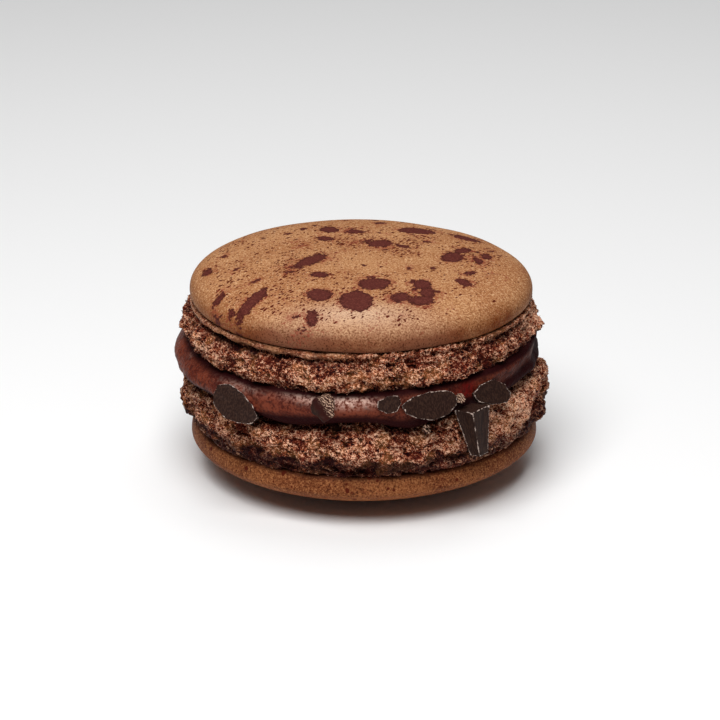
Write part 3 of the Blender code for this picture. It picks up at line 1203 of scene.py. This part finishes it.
@dataclass
class Foot:
    """A shell's ruffled foot: crags, grains and pits over the form that the solid has."""

    name: str
    node: str
    outline: Outline
    low: float
    high: float
    seed: float
    merged_at: float = math.radians(-25)
    lower_reach: float = 1.0 * MM
    lower_tuck: float = 0.0
    upper_reach: float = 1.9 * MM
    upper_tuck: float = 0.0
    shades: tuple[tuple[float, float, float], ...] = ()
    steps: int = 1184
    spacing: float = 0.135 * MM
    crag_spacing: float = 3.6 * MM
    crag_depth: float = 1.8 * MM
    crag_middle: float = 0.45
    layer_spacing: float = 2.2 * MM
    layer_length: float = 7.0 * MM
    layer_depth: float = 0.8 * MM
    edge: float = 0.16
    hollow: float = 0.0
    lump: float = 0.24 * MM
    grain: float = 0.15 * MM
    fine: float = 0.1 * MM
    pit: float = 0.32 * MM
    core_radius: float = 12.0 * MM
    seen_radius: float = 20.0 * MM
    crack_height: float = 0.7 * MM
    ribbon_start: float = 0.12 * MM
    ribbon_fade: float = 0.25 * MM

    def tuck(self, height: float) -> float:
        """Work out how much further in the foot lies at its two edges than the solid.

        Args:
            height: The height to work at.

        Returns:
            The distance inwards.
        """
        below = ease((self.low + self.lower_reach - height) / self.lower_reach)
        above = ease((height - self.high + self.upper_reach) / self.upper_reach)
        return self.lower_tuck * below + self.upper_tuck * above

    def crags(self, points: np.ndarray) -> np.ndarray:
        """Work out the same outward relief that the solid has.

        Args:
            points: Points of the even foot.

        Returns:
            How far each of them stands out.
        """
        part_way = (points[:, 2] - self.low) / (self.high - self.low)
        window = ease(part_way / self.edge) * ease((1.0 - part_way) / self.edge)
        start = np.array((self.seed, 0.0, 0.0))
        nearest = sample(points / self.crag_spacing + start, nearest_cell)
        squeeze = np.array((self.layer_length, self.layer_length, self.layer_spacing))
        layers = sample(points / squeeze + np.array((0.0, self.seed, 0.0)), noise.noise)
        return window * (self.crag_depth * (self.crag_middle - nearest) + self.layer_depth * layers)

    def crumb(self, points: np.ndarray, crags: np.ndarray) -> tuple[np.ndarray, np.ndarray]:
        """Work out the fine relief.

        Args:
            points: The foot's points in place.
            crags: How far the solid's relief stands out at each.

        Returns:
            How far each point stands out, and its painted relief shading, from 0 for painted shade
            in the pits to 1 for painted highlight on the tips.
        """
        bent = points + 0.25 * MM * np.stack(
            [waves(points, 0.9 * MM, shift) for shift in (1.0, 5.0, 9.0)], axis=1)
        lumps = 0.5 - 2.2 * np.abs(waves(flattened(bent, 1.8), 1.5 * MM, self.seed))
        grains = walls(flattened(bent, 1.5), 0.66 * MM, self.seed + 2.0) - 0.35
        fines = 0.6 - domes(bent, 0.33 * MM, self.seed + 4.0)
        pits = ease((waves(bent, 1.1 * MM, self.seed + 6.0) - 0.22) / 0.2)
        clefts = waves(flattened(bent, 2.6), 2.4 * MM, self.seed + 8.0)
        pits = np.maximum(pits, ease((clefts - 0.2) / 0.12))
        relief = self.lump * lumps + self.grain * grains + self.fine * fines - self.pit * pits
        clumps = np.clip(crags / self.crag_depth + 0.2, -0.7, 0.5)
        # Painted shade in pits and clefts, painted highlight on the walls and tips.
        relief_shading = 0.5 + 0.22 * clumps + 0.12 * lumps + 0.2 * grains + 0.3 * fines - 0.4 * pits
        return relief, np.clip(relief_shading, 0.0, 1.0)

    def build(self, material: bpy.types.Material) -> bpy.types.Object:
        """Make the foot and put it in the scene.

        Args:
            material: The crumb's finish.

        Returns:
            The foot's object.
        """
        hidden = [(0.0, self.outline[0][1]), (self.core_radius, self.outline[0][1])]
        under = [(self.core_radius, self.outline[-1][1]), (0.0, self.outline[-1][1])]
        side = [(radius - self.tuck(height), height)
                for radius, height in even_steps(self.outline, self.spacing)]
        mesh = turned(self.name, hidden + side + under, self.steps)
        even = read_points(mesh)
        radius = np.hypot(even[:, 0], even[:, 1])
        seen = radius > self.seen_radius
        crags = np.zeros(len(even))
        crags[seen] = self.crags(even[seen])
        outward = np.zeros_like(even)
        outward[seen, :2] = even[seen, :2] / radius[seen, None]
        uneven = np.clip(0.75 + 1.3 * waves(even, 4.5 * MM, 15.0), 0.1, 1.4)
        turn = np.arctan2(even[:, 1], even[:, 0])
        merged = 0.5 + 0.5 * np.cos(turn - self.merged_at) + 0.8 * waves(even, 9.0 * MM, 6.0)
        merged = ease((merged - 0.55) / 0.3)
        near_top = ease(1.0 - np.abs(even[:, 2] - self.high) / self.crack_height)
        cracked = self.hollow * uneven * near_top * (1.0 - 1.7 * merged)
        points = FORM.carry(even + outward * (crags - cracked)[:, None])
        write_points(mesh, points)
        normals = read_normals(mesh)
        relief = np.zeros(len(even))
        relief_shading = np.full(len(even), 0.3)
        relief[seen], relief_shading[seen] = self.crumb(points[seen], crags[seen])
        frayed = 0.2 * MM * waves(even, 0.8 * MM, 12.0)
        ribbon = ease((even[:, 2] - FORM.groove - self.ribbon_start - frayed) / self.ribbon_fade)
        ribbon = ribbon * (1.0 - merged)
        calm = ease((radius - self.seen_radius) / (1.2 * MM)) * (1.0 - 0.85 * ribbon)
        leftmost = 0.5 - 0.5 * np.cos(turn)
        droop = np.clip(0.2 * leftmost + 0.5 * waves(even, 2.6 * MM, 1.0), -0.1, 0.4) * MM
        points[:, 2] -= ribbon * droop * ease((23.6 * MM - even[:, 2]) / (0.5 * MM))
        points = points + normals * (relief * calm)[:, None]
        write_points(mesh, points)
        write_mask(mesh, Mask.RAISED, relief_shading)
        skin = np.clip(0.6 + 0.8 * waves(even, 3.0 * MM, 7.0), 0.3, 0.9)
        write_mask(mesh, Mask.CALM, ribbon * skin)
        tone = 0.3 * waves(points, 2.8 * MM, self.seed)
        for centre, width, amount in self.shades:
            tone += amount * hill(np.degrees(turn) - centre, width)
        write_mask(mesh, Mask.TONE, tone)
        write_mask(mesh, Mask.STAIN, self.stain_and_shade(even, points, merged))
        return show(mesh, material, Slot.SHELL, self.node)

    def stain_and_shade(self, even: np.ndarray, points: np.ndarray, merged: np.ndarray) -> np.ndarray:
        """Work out how dark the crumb is near the cream, in the crease and in the crack under the
        ribbon: partly a cream stain, partly painted shade.

        Args:
            even: The foot's points before they are carried into place.
            points: The same points in place.
            merged: Where the ribbon runs into the crumb, 1 at most.

        Returns:
            The darkness at each point, from 0 to 1.
        """
        height = even[:, 2] + 0.45 * MM * waves(points, 2.4 * MM, 5.0)
        upper = ease((height - (FORM.lower_join - 1.2 * MM)) / (0.9 * MM))
        lower = ease((FORM.bottom_crease + 3.6 * MM - height) / (1.3 * MM))
        if self.low > FORM.lower_join:
            upper = ease((FORM.upper_join + 0.7 * MM - height) / (0.6 * MM))
            # The dark crack under the top foot's ribbon is painted shade.
            lower = ease(1.3 - np.abs(height - FORM.groove + 0.05 * MM) / (0.5 * MM))
        if self.hollow:
            broken_up = np.clip(0.7 + 1.6 * waves(points, 2.6 * MM, 14.0), 0.1, 1.0)
            lower *= broken_up * (1.0 - 0.7 * merged)
        patchy = np.clip(0.9 + waves(points, 1.1 * MM, 4.0), 0.0, 1.0)
        return np.clip(upper + lower, 0.0, 1.0) * patchy


@dataclass
class Feet:
    """Both ruffled feet, with the crumbs that cling to them."""

    ribbon_top: float = 23.75 * MM
    ribbon_middle: float = 23.46 * MM
    ribbon_width: float = 0.5 * MM
    ribbon_half_height: float = 0.27 * MM
    top_ledge: float = 1.6 * MM
    bottom_upper_ledge: float = 0.9 * MM
    bottom_lower_ledge: float = 1.2 * MM

    def top(self) -> Foot:
        """Describe the top shell's foot: ribbon, groove, crags and underside.

        Returns:
            The foot, ready to build.
        """
        rim = FORM.top_cap_radius
        ribbon = arc((rim - self.ribbon_width, self.ribbon_middle),
                     (self.ribbon_width, self.ribbon_half_height), 90, -60, 8)
        side = belly(FORM.groove - 0.2 * MM, FORM.top_belly, FORM.upper_join, FORM.top_foot_radius,
                     rim - 0.4 * MM, 30)
        outline = [(rim - self.top_ledge, self.ribbon_top)] + ribbon
        outline += [(rim - 0.6 * MM, FORM.groove + 0.1 * MM)] + side
        outline += [(rim - self.top_ledge, FORM.upper_join - 0.1 * MM)]
        return Foot("top_foot", "top_shell", outline, FORM.upper_join, FORM.groove, 3.0,
                    hollow=0.7 * MM, shades=((-10.0, 18.0, 0.4), (-50.0, 14.0, -0.1)))

    def bottom(self) -> Foot:
        """Describe the bottom shell's foot: upper side, crags and crease.

        Returns:
            The foot, ready to build.
        """
        rim = FORM.bottom_cap_radius
        side = belly(FORM.lower_join, FORM.bottom_belly, FORM.bottom_crease,
                     FORM.bottom_foot_radius, rim - 0.6 * MM, 40)
        outline = [(rim - self.bottom_upper_ledge, FORM.lower_join + 0.1 * MM)] + side
        outline += [(rim - self.bottom_lower_ledge, FORM.bottom_crease - 0.2 * MM)]
        return Foot("bottom_foot", "bottom_shell", outline, FORM.bottom_crease, FORM.lower_join,
                    11.0, lower_reach=2.8 * MM, lower_tuck=0.7 * MM, upper_tuck=1.6 * MM,
                    shades=((-34.0, 18.0, 0.26), (-92.0, 26.0, 0.06)))

    def build(self) -> None:
        """Make both feet and their crumbs."""
        material = CrumbFinish("open_crumb").material()
        for foot, seed in ((self.top(), 5), (self.bottom(), 8)):
            made = foot.build(material)
            Crumbs(foot.name + "_crumbs", seed).build(made.data, material)


@dataclass
class Crumbs:
    """Small broken crumbs that cling to a foot."""

    name: str
    seed: int
    count: int = 4500
    smallest: float = 0.06 * MM
    largest: float = 0.12 * MM
    slimmest: tuple[float, float, float] = (0.9, 0.4, 0.4)
    stoutest: tuple[float, float, float] = (1.6, 0.8, 0.8)
    proud: float = 0.35
    from_radius: float = 22.3 * MM
    least_relief_shading: float = 0.25
    most_calm: float = 0.3

    def build(self, carrier: bpy.types.Mesh, material: bpy.types.Material) -> bpy.types.Object:
        """Scatter the crumbs over a foot.

        Args:
            carrier: The foot's mesh.
            material: The crumb's finish.

        Returns:
            The crumbs' object.
        """
        draw = np.random.default_rng(self.seed)
        points = read_points(carrier)
        normals = read_normals(carrier)
        radius = np.hypot(points[:, 0], points[:, 1])
        relief_shading, stained_and_shaded, calm = (
            read_mask(carrier, mask) for mask in (Mask.RAISED, Mask.STAIN, Mask.CALM))
        ground = np.flatnonzero((radius > self.from_radius) & (relief_shading > self.least_relief_shading)
                                & (calm < self.most_calm))
        picks = draw.choice(ground, self.count, replace=False)
        bm = bmesh.new()
        bmesh.ops.create_icosphere(bm, subdivisions=1, radius=1.0)
        corners = np.array([vertex.co[:] for vertex in bm.verts])
        faces = np.array([[vertex.index for vertex in face.verts] for face in bm.faces])
        bm.free()
        size = self.smallest + (self.largest - self.smallest) * draw.random(self.count) ** 2.5
        shape = draw.uniform(self.slimmest, self.stoutest, (self.count, 3))[:, None, :]
        rough = draw.uniform(0.75, 1.15, (self.count, len(corners), 1))
        turns = np.array([Matrix.Rotation(angle, 3, Vector(axis)) for angle, axis in zip(
            draw.uniform(0.0, math.tau, self.count), draw.normal(size=(self.count, 3)))])
        grains = np.einsum("nij,nkj->nki", turns, corners[None] * shape * rough)
        grains = grains * size[:, None, None]
        grains += (points[picks] + normals[picks] * size[:, None] * self.proud)[:, None, :]
        index = faces[None] + (np.arange(self.count) * len(corners))[:, None, None]
        mesh = bpy.data.meshes.new(self.name)
        mesh.from_pydata(grains.reshape(-1, 3).tolist(), [], index.reshape(-1, 3).tolist())
        # Each crumb takes the painted relief shading of its place, with some random change.
        tone = np.clip(relief_shading[picks] + draw.normal(-0.08, 0.15, self.count), 0.1, 0.75)
        write_mask(mesh, Mask.RAISED, np.repeat(tone, len(corners)))
        for mask in (Mask.CALM, Mask.TONE):
            write_mask(mesh, mask, np.zeros(len(grains) * len(corners)))
        write_mask(mesh, Mask.STAIN, np.repeat(stained_and_shaded[picks] * 0.85, len(corners)))
        return show(mesh, material, Slot.SHELL, smooth=False)


@dataclass(frozen=True)
class ChocolatePiece:
    """A cut piece of chocolate, placed and sized as its solid is, in millimetres and degrees."""

    node: str
    angle: float
    radius: float
    height: float
    length: float
    width: float
    thick: float
    facing: float
    lean: float
    roll: float
    sides: int
    buried: float
    rounded: float = 0.1
    softened: float = 0.07
    torn: float = 0.0
    solid: bool = True

    def place(self) -> Matrix:
        """Work out where the piece lies.

        Returns:
            The matrix that puts the upright piece in its place.
        """
        angle, look, lean, roll = (
            math.radians(turn) for turn in (self.angle, self.facing, self.lean, self.roll))
        outward = Vector((math.cos(look), math.sin(look), 0.0))
        along = Vector((-math.sin(look), math.cos(look), 0.0))
        upward = Vector((0.0, 0.0, 1.0))
        facing = outward * math.cos(lean) + upward * math.sin(lean)
        rising = upward * math.cos(lean) - outward * math.sin(lean)
        long_axis = along * math.cos(roll) + rising * math.sin(roll)
        short_axis = rising * math.cos(roll) - along * math.sin(roll)
        turn = Matrix((long_axis, short_axis, facing)).transposed().to_4x4()
        middle = Vector((math.cos(angle) * self.radius, math.sin(angle) * self.radius, self.height))
        return Matrix.Translation(middle * MM) @ turn

    def reach(self, corner: float) -> float:
        """Work out the outline's reach at an angle.

        Args:
            corner: The angle round the upright piece.

        Returns:
            The reach, 1 on the full oval.
        """
        wedge = math.tau / self.sides
        start = (corner - math.pi / 2) % wedge - wedge / 2
        flat = math.cos(wedge / 2) / math.cos(start)
        reach = flat + (1.0 - flat) * self.rounded
        chipped = 1.0 + 0.07 * math.sin(3.0 * corner + self.angle)
        spot = Vector((math.cos(corner) * 4.0, math.sin(corner) * 4.0, self.angle))
        return reach * (chipped + 0.03 * noise.noise(spot))

    def edge_distance(self, spot: Vector) -> float:
        """Measure how far a point of the upright piece is from its nearest edge.

        Args:
            spot: The point, in metres.

        Returns:
            The distance in millimetres.
        """
        corner = math.atan2(spot.y / self.width, spot.x / self.length)
        reach = math.hypot(spot.x / self.length, spot.y / self.width) * 2.0 / MM
        part_way = spot.z / (self.thick * MM) + 0.5
        full = self.reach(corner) * (self.buried + (1.0 - self.buried) * part_way)
        inwards = (1.0 - reach / full) * min(self.length, self.width) / 2
        below = (0.5 - abs(part_way - 0.5)) * self.thick
        if inwards > 0.12 or below < 0.1:
            return max(inwards, 0.0)
        wedge = math.tau / self.sides
        aside = abs((corner - math.pi / 2 + wedge / 2) % wedge - wedge / 2)
        return min(below, aside * reach * min(self.length, self.width) * 0.75)

    def build(self, material: bpy.types.Material) -> bpy.types.Object:
        """Make the piece and put it in the scene.

        Args:
            material: The chocolate's finish.

        Returns:
            The piece's object.
        """
        bm = bmesh.new()
        bmesh.ops.create_cone(bm, cap_ends=True, cap_tris=False, segments=self.sides * 8,
                              radius1=self.buried, radius2=1.0, depth=self.thick * MM)
        for vertex in bm.verts:
            reach = self.reach(math.atan2(vertex.co.y, vertex.co.x))
            vertex.co.x *= reach * self.length * MM / 2
            vertex.co.y *= reach * self.width * MM / 2
        uprights = [edge for edge in bm.edges
                    if abs(edge.verts[0].co.z - edge.verts[1].co.z) > 0.5 * MM]
        bmesh.ops.subdivide_edges(bm, edges=uprights, cuts=max(4, int(self.thick / 0.3)),
                                  use_grid_fill=True)
        broad = [face for face in bm.faces if len(face.verts) > self.sides * 4]
        rims = [edge for face in broad for edge in face.edges]
        bmesh.ops.bevel(bm, geom=rims, affect="EDGES", offset=self.softened * MM, segments=2,
                        profile=0.5, material=-1, clamp_overlap=True)
        broad = [face for face in bm.faces if len(face.verts) > self.sides * 4]
        half = min(self.length, self.width) / 2
        for outer, inner in zip(FACE_RINGS, FACE_RINGS[1:]):
            broad = bmesh.ops.extrude_discrete_faces(bm, faces=broad)["faces"]
            shrink = (half - inner) / (half - outer)
            for face in broad:
                bmesh.ops.scale(bm, verts=face.verts[:], vec=(shrink, shrink, 1.0))
        bmesh.ops.poke(bm, faces=broad)
        worn = bm.verts.layers.float.new(Mask.EDGE.value)
        broken = bm.verts.layers.float.new(Mask.BROKEN.value)
        for vertex in bm.verts:
            vertex[worn] = self.edge_distance(vertex.co)
            if self.torn:
                vertex[worn] += 1.0
                across = vertex.co.x / (self.length * MM) + vertex.co.y / (self.width * MM) * 0.6
                vertex[broken] = 0.45 + across if self.solid else 2.0
        bm.normal_update()
        for vertex in bm.verts:
            rough = noise.noise(vertex.co / (0.5 * MM) + Vector((self.angle, 0.0, 0.0)))
            coarse = noise.noise(vertex.co / (1.3 * MM) + Vector((0.0, self.angle, 0.0)))
            depth = (0.04 + self.torn * 0.1) * rough + (0.03 + self.torn * 0.3) * coarse
            vertex.co += vertex.normal * depth * MM
        bm.transform(self.place())
        bmesh.ops.recalc_face_normals(bm, faces=bm.faces[:])
        mesh = bpy.data.meshes.new("cut_" + self.node)
        bm.to_mesh(mesh)
        bm.free()
        mesh.shade_smooth()
        if not self.torn:
            mesh.set_sharp_from_angle(angle=math.radians(30))
        solids = [self.node] if self.solid else []
        return show(mesh, material, Slot.CHOCOLATE, *solids, smooth=False)


PIECES = (
    ChocolatePiece("piece_left_slab", -131.0, 24.8, 15.5, 7.0, 3.9, 1.6, -108.0, 27, -31, 10, 0.92),
    ChocolatePiece("piece_nib", -101.7, 23.7, 17.1, 3.2, 3.6, 3.0, -101.7, 14, 8, 6, 0.8,
                   rounded=0.5, softened=0.4, torn=1.0),
    ChocolatePiece("piece_small", -82.2, 23.8, 17.6, 3.2, 2.3, 1.4, -82.2, 21, 12, 7, 0.9),
    ChocolatePiece("piece_oval", -69.6, 23.9, 17.0, 7.5, 3.6, 1.5, -69.6, 21, 2, 10, 0.9),
    ChocolatePiece("piece_right", -46.8, 23.6, 16.55, 5.8, 3.2, 1.5, -55.0, 20, -12, 8, 0.9),
    ChocolatePiece("piece_shard", -55.2, 25.1, 12.75, 3.4, 4.5, 6.5, 180.0, 81, 0, 4, 0.5, 0.0),
    ChocolatePiece("piece_back_right", 36.0, 23.4, 17.5, 6.2, 3.6, 1.6, 36.0, 14, 18, 9, 0.9),
    ChocolatePiece("piece_back_nib", 66.0, 23.6, 17.0, 3.4, 3.2, 2.8, 66.0, 10, -15, 6, 0.8,
                   rounded=0.5, softened=0.4, torn=1.0),
    ChocolatePiece("piece_back_slab", 104.0, 24.0, 16.6, 7.6, 3.8, 1.6, 104.0, 16, -8, 10, 0.9),
    ChocolatePiece("piece_back_left", 150.0, 24.8, 16.6, 4.6, 3.2, 1.5, 150.0, 12, 25, 8, 0.9),
    ChocolatePiece("crumb_low", -70.8, 24.1, 13.9, 1.0, 1.3, 1.0, -70.8, 20, 20, 6, 0.8,
                   rounded=0.4, softened=0.1, torn=0.3, solid=False),
    ChocolatePiece("crumb_high", -59.2, 24.0, 17.2, 1.2, 1.3, 1.0, -59.2, 20, 0, 6, 0.8,
                   rounded=0.6, softened=0.1, torn=0.3, solid=False),
)


@dataclass
class Filling:
    """The chocolate cream between the shells, swollen a little round the pieces in it."""

    steps: int = 896
    rows: int = 44
    lump_spacing: float = 9.0 * MM
    lump_depth: float = 0.6 * MM
    swell: float = 0.22 * MM
    proud: float = 0.35 * MM
    core_radius: float = 18.0 * MM
    edge_inset: float = 2.2 * MM
    shaded: float = 0.7
    shaded_at: float = -16.0
    shaded_width: float = 26.0
    jam_spot: tuple[float, float, float] = (13.4 * MM, -19.6 * MM, 17.9 * MM)
    jam_size: float = 1.4 * MM
    # Spots of painted highlight on the cream's front: x, height, half width, half height and
    # amount.
    painted_highlight_spots: tuple[tuple[float, ...], ...] = (
        (-2.9 * MM, 18.0 * MM, 4.6 * MM, 0.7 * MM, 1.1),
        (-8.2 * MM, 18.5 * MM, 2.2 * MM, 0.6 * MM, 0.8),
        (-15.6 * MM, 18.4 * MM, 2.4 * MM, 0.9 * MM, 0.5),
        (8.4 * MM, 14.9 * MM, 1.4 * MM, 0.5 * MM, 0.4),
    )

    def build(self) -> bpy.types.Object:
        """Make the cream and put it in the scene.

        Returns:
            The cream's object.
        """
        side = belly(FORM.upper_join + 0.15 * MM, FORM.filling_belly, FORM.lower_join - 0.15 * MM,
                     FORM.filling_radius, FORM.filling_radius - self.edge_inset, self.rows, 0.85)
        outline = [(0.0, side[0][1]), (self.core_radius, side[0][1])] + side
        outline += [(self.core_radius, side[-1][1]), (0.0, side[-1][1])]
        mesh = turned("chocolate_cream", outline, self.steps)
        even = read_points(mesh)
        radius = np.hypot(even[:, 0], even[:, 1])
        height = even[:, 2]
        seen = ease((radius - 21.5 * MM) / (1.5 * MM))
        window = ease((height - FORM.lower_join) / MM) * ease((FORM.upper_join - height) / MM)
        relief = window * self.lump_depth * waves(even, self.lump_spacing, 0.0)
        relief += seen * 0.26 * MM * waves(flattened(even, 1.8), 3.2 * MM, 4.0)
        relief += seen * 0.06 * MM * waves(flattened(even, 1.6), 0.9 * MM, 8.0)
        outward = np.zeros_like(even)
        outside = radius > MM
        outward[outside, :2] = even[outside, :2] / radius[outside, None]
        points = FORM.carry(even + outward * relief[:, None])
        for piece in PIECES:
            middle = np.array(piece.place().translation)
            apart = np.linalg.norm(points - middle, axis=1)
            near = hill(apart, 0.6 * piece.length * MM)
            points += outward * (self.swell * near * seen)[:, None]
            if piece.solid and piece.lean < 45:
                points = self.press(points, piece)
        write_points(mesh, points)
        # Painted shade: the cream darkens in the crevices under and over the feet and on its right
        # side.
        crevice = ease((height - (FORM.upper_join - 0.9 * MM)) / (0.7 * MM))
        crevice += ease((FORM.lower_join + 1.9 * MM - height) / (0.9 * MM))
        turn = np.degrees(np.arctan2(even[:, 1], even[:, 0]))
        crevice += self.shaded * hill(turn - self.shaded_at, self.shaded_width)
        write_mask(mesh, Mask.STAIN, np.clip(crevice, 0.0, 1.0))
        jam = np.linalg.norm(points - np.array(self.jam_spot), axis=1)
        write_mask(mesh, Mask.TONE, np.clip(1.4 * hill(jam, self.jam_size), 0.0, 1.0))
        # Pale patches of painted highlight on the cream's upper side.
        write_mask(mesh, Mask.BLOOM, self.painted_highlight(points))
        return show(mesh, CreamFinish("satin_cream").material(), Slot.FILLING, "filling")

    def press(self, points: np.ndarray, piece: ChocolatePiece) -> np.ndarray:
        """Push the cream back where it would lie over a piece's face.

        Args:
            points: The cream's points.
            piece: The piece pressed into it.

        Returns:
            The cream's points after the piece went in.
        """
        place = np.array(piece.place())
        local = (points - place[:3, 3]) @ place[:3, :3]
        across = np.hypot(local[:, 0] / piece.length, local[:, 1] / piece.width) * 2.0 / MM
        proud = local[:, 2] - piece.thick * MM / 2 + self.proud
        under = ease((1.5 - across) / 0.4) * np.clip(proud, 0.0, 3.0 * MM)
        return points - under[:, None] * place[:3, 2]

    def painted_highlight(self, points: np.ndarray) -> np.ndarray:
        """Work out how much painted highlight lies on the cream: placed spots in front, patches on
        the upper side behind.

        Args:
            points: The cream's points.

        Returns:
            The painted highlight at each point, from 0 to 1.
        """
        found = np.zeros(len(points))
        for x, z, across, upward, amount in self.painted_highlight_spots:
            apart = ((points[:, 0] - x) / across) ** 2 + ((points[:, 2] - z) / upward) ** 2
            found += amount * np.exp(-apart)
        back = 0.45 * ease(3.0 * waves(points, 6.0 * MM, 21.0))
        back *= ease((points[:, 2] - 17.4 * MM) / MM)
        return np.clip(np.where(points[:, 1] < -8.0 * MM, found, back), 0.0, 1.0)


@dataclass
class Studio:
    """A pale floor, soft light from above and the camera."""

    elevation: float = math.radians(21.3)
    distance: float = 0.4
    aim: tuple[float, float, float] = (-0.4 * MM, 0.0, 14.4 * MM)
    lens: float = 150.0
    floor_size: float = 1.5
    air_light: float = 0.09
    nearest_seen: float = 0.01
    lamps: tuple = (
        ("overhead", (-0.06, -0.22, 0.44), 0.32, 2.6),
        ("back_top", (0.05, 0.20, 0.50), 0.40, 0.75),
    )

    def build(self) -> None:
        """Make the floor, lights, world and camera."""
        bm = bmesh.new()
        bmesh.ops.create_grid(bm, x_segments=1, y_segments=1, size=self.floor_size)
        mesh = bpy.data.meshes.new("floor")
        bm.to_mesh(mesh)
        bm.free()
        mesh.materials.append(FloorFinish().material())
        floor = bpy.data.objects.new("floor", mesh)
        bpy.context.scene.collection.objects.link(floor)
        for lamp in self.lamps:
            self.area_light(*lamp)
        world = bpy.data.worlds.new("studio")
        world.use_nodes = True
        air = world.node_tree.nodes["Background"]
        air.inputs["Color"].default_value = (1.0, 1.0, 1.0, 1.0)
        air.inputs["Strength"].default_value = self.air_light
        bpy.context.scene.world = world
        self.camera()
        bpy.context.scene.view_settings.view_transform = "Standard"

    def area_light(self, name: str, spot: tuple[float, float, float], size: float,
                   power: float) -> None:
        """Hang a soft square light that looks at the macaron.

        Args:
            name: The light's name.
            spot: Where it hangs.
            size: The length of its side.
            power: Its power in watts.
        """
        lamp = bpy.data.lights.new(name, "AREA")
        lamp.size = size
        lamp.energy = power
        hung = bpy.data.objects.new(name, lamp)
        hung.location = spot
        hung.rotation_euler = (Vector(self.aim) - Vector(spot)).to_track_quat("-Z", "Y").to_euler()
        bpy.context.scene.collection.objects.link(hung)

    def camera(self) -> None:
        """Set the camera at the picture's angle."""
        lens = bpy.data.cameras.new("camera")
        lens.lens = self.lens
        lens.clip_start = self.nearest_seen
        seat = bpy.data.objects.new("camera", lens)
        back = Vector((0.0, -math.cos(self.elevation), math.sin(self.elevation)))
        seat.location = Vector(self.aim) + back * self.distance
        seat.rotation_euler = (-back).to_track_quat("-Z", "Y").to_euler()
        bpy.context.scene.collection.objects.link(seat)
        bpy.context.scene.camera = seat


def main() -> None:
    """Build the macaron's looks in order."""
    logging.basicConfig(level=logging.INFO, format="%(message)s")
    Studio().build()
    TopCap().build()
    BottomCap().build()
    Feet().build()
    Filling().build()
    chocolate = ChocolateFinish("cut_chocolate").material()
    for piece in PIECES:
        piece.build(chocolate)


if __name__ == "__main__":
    main()
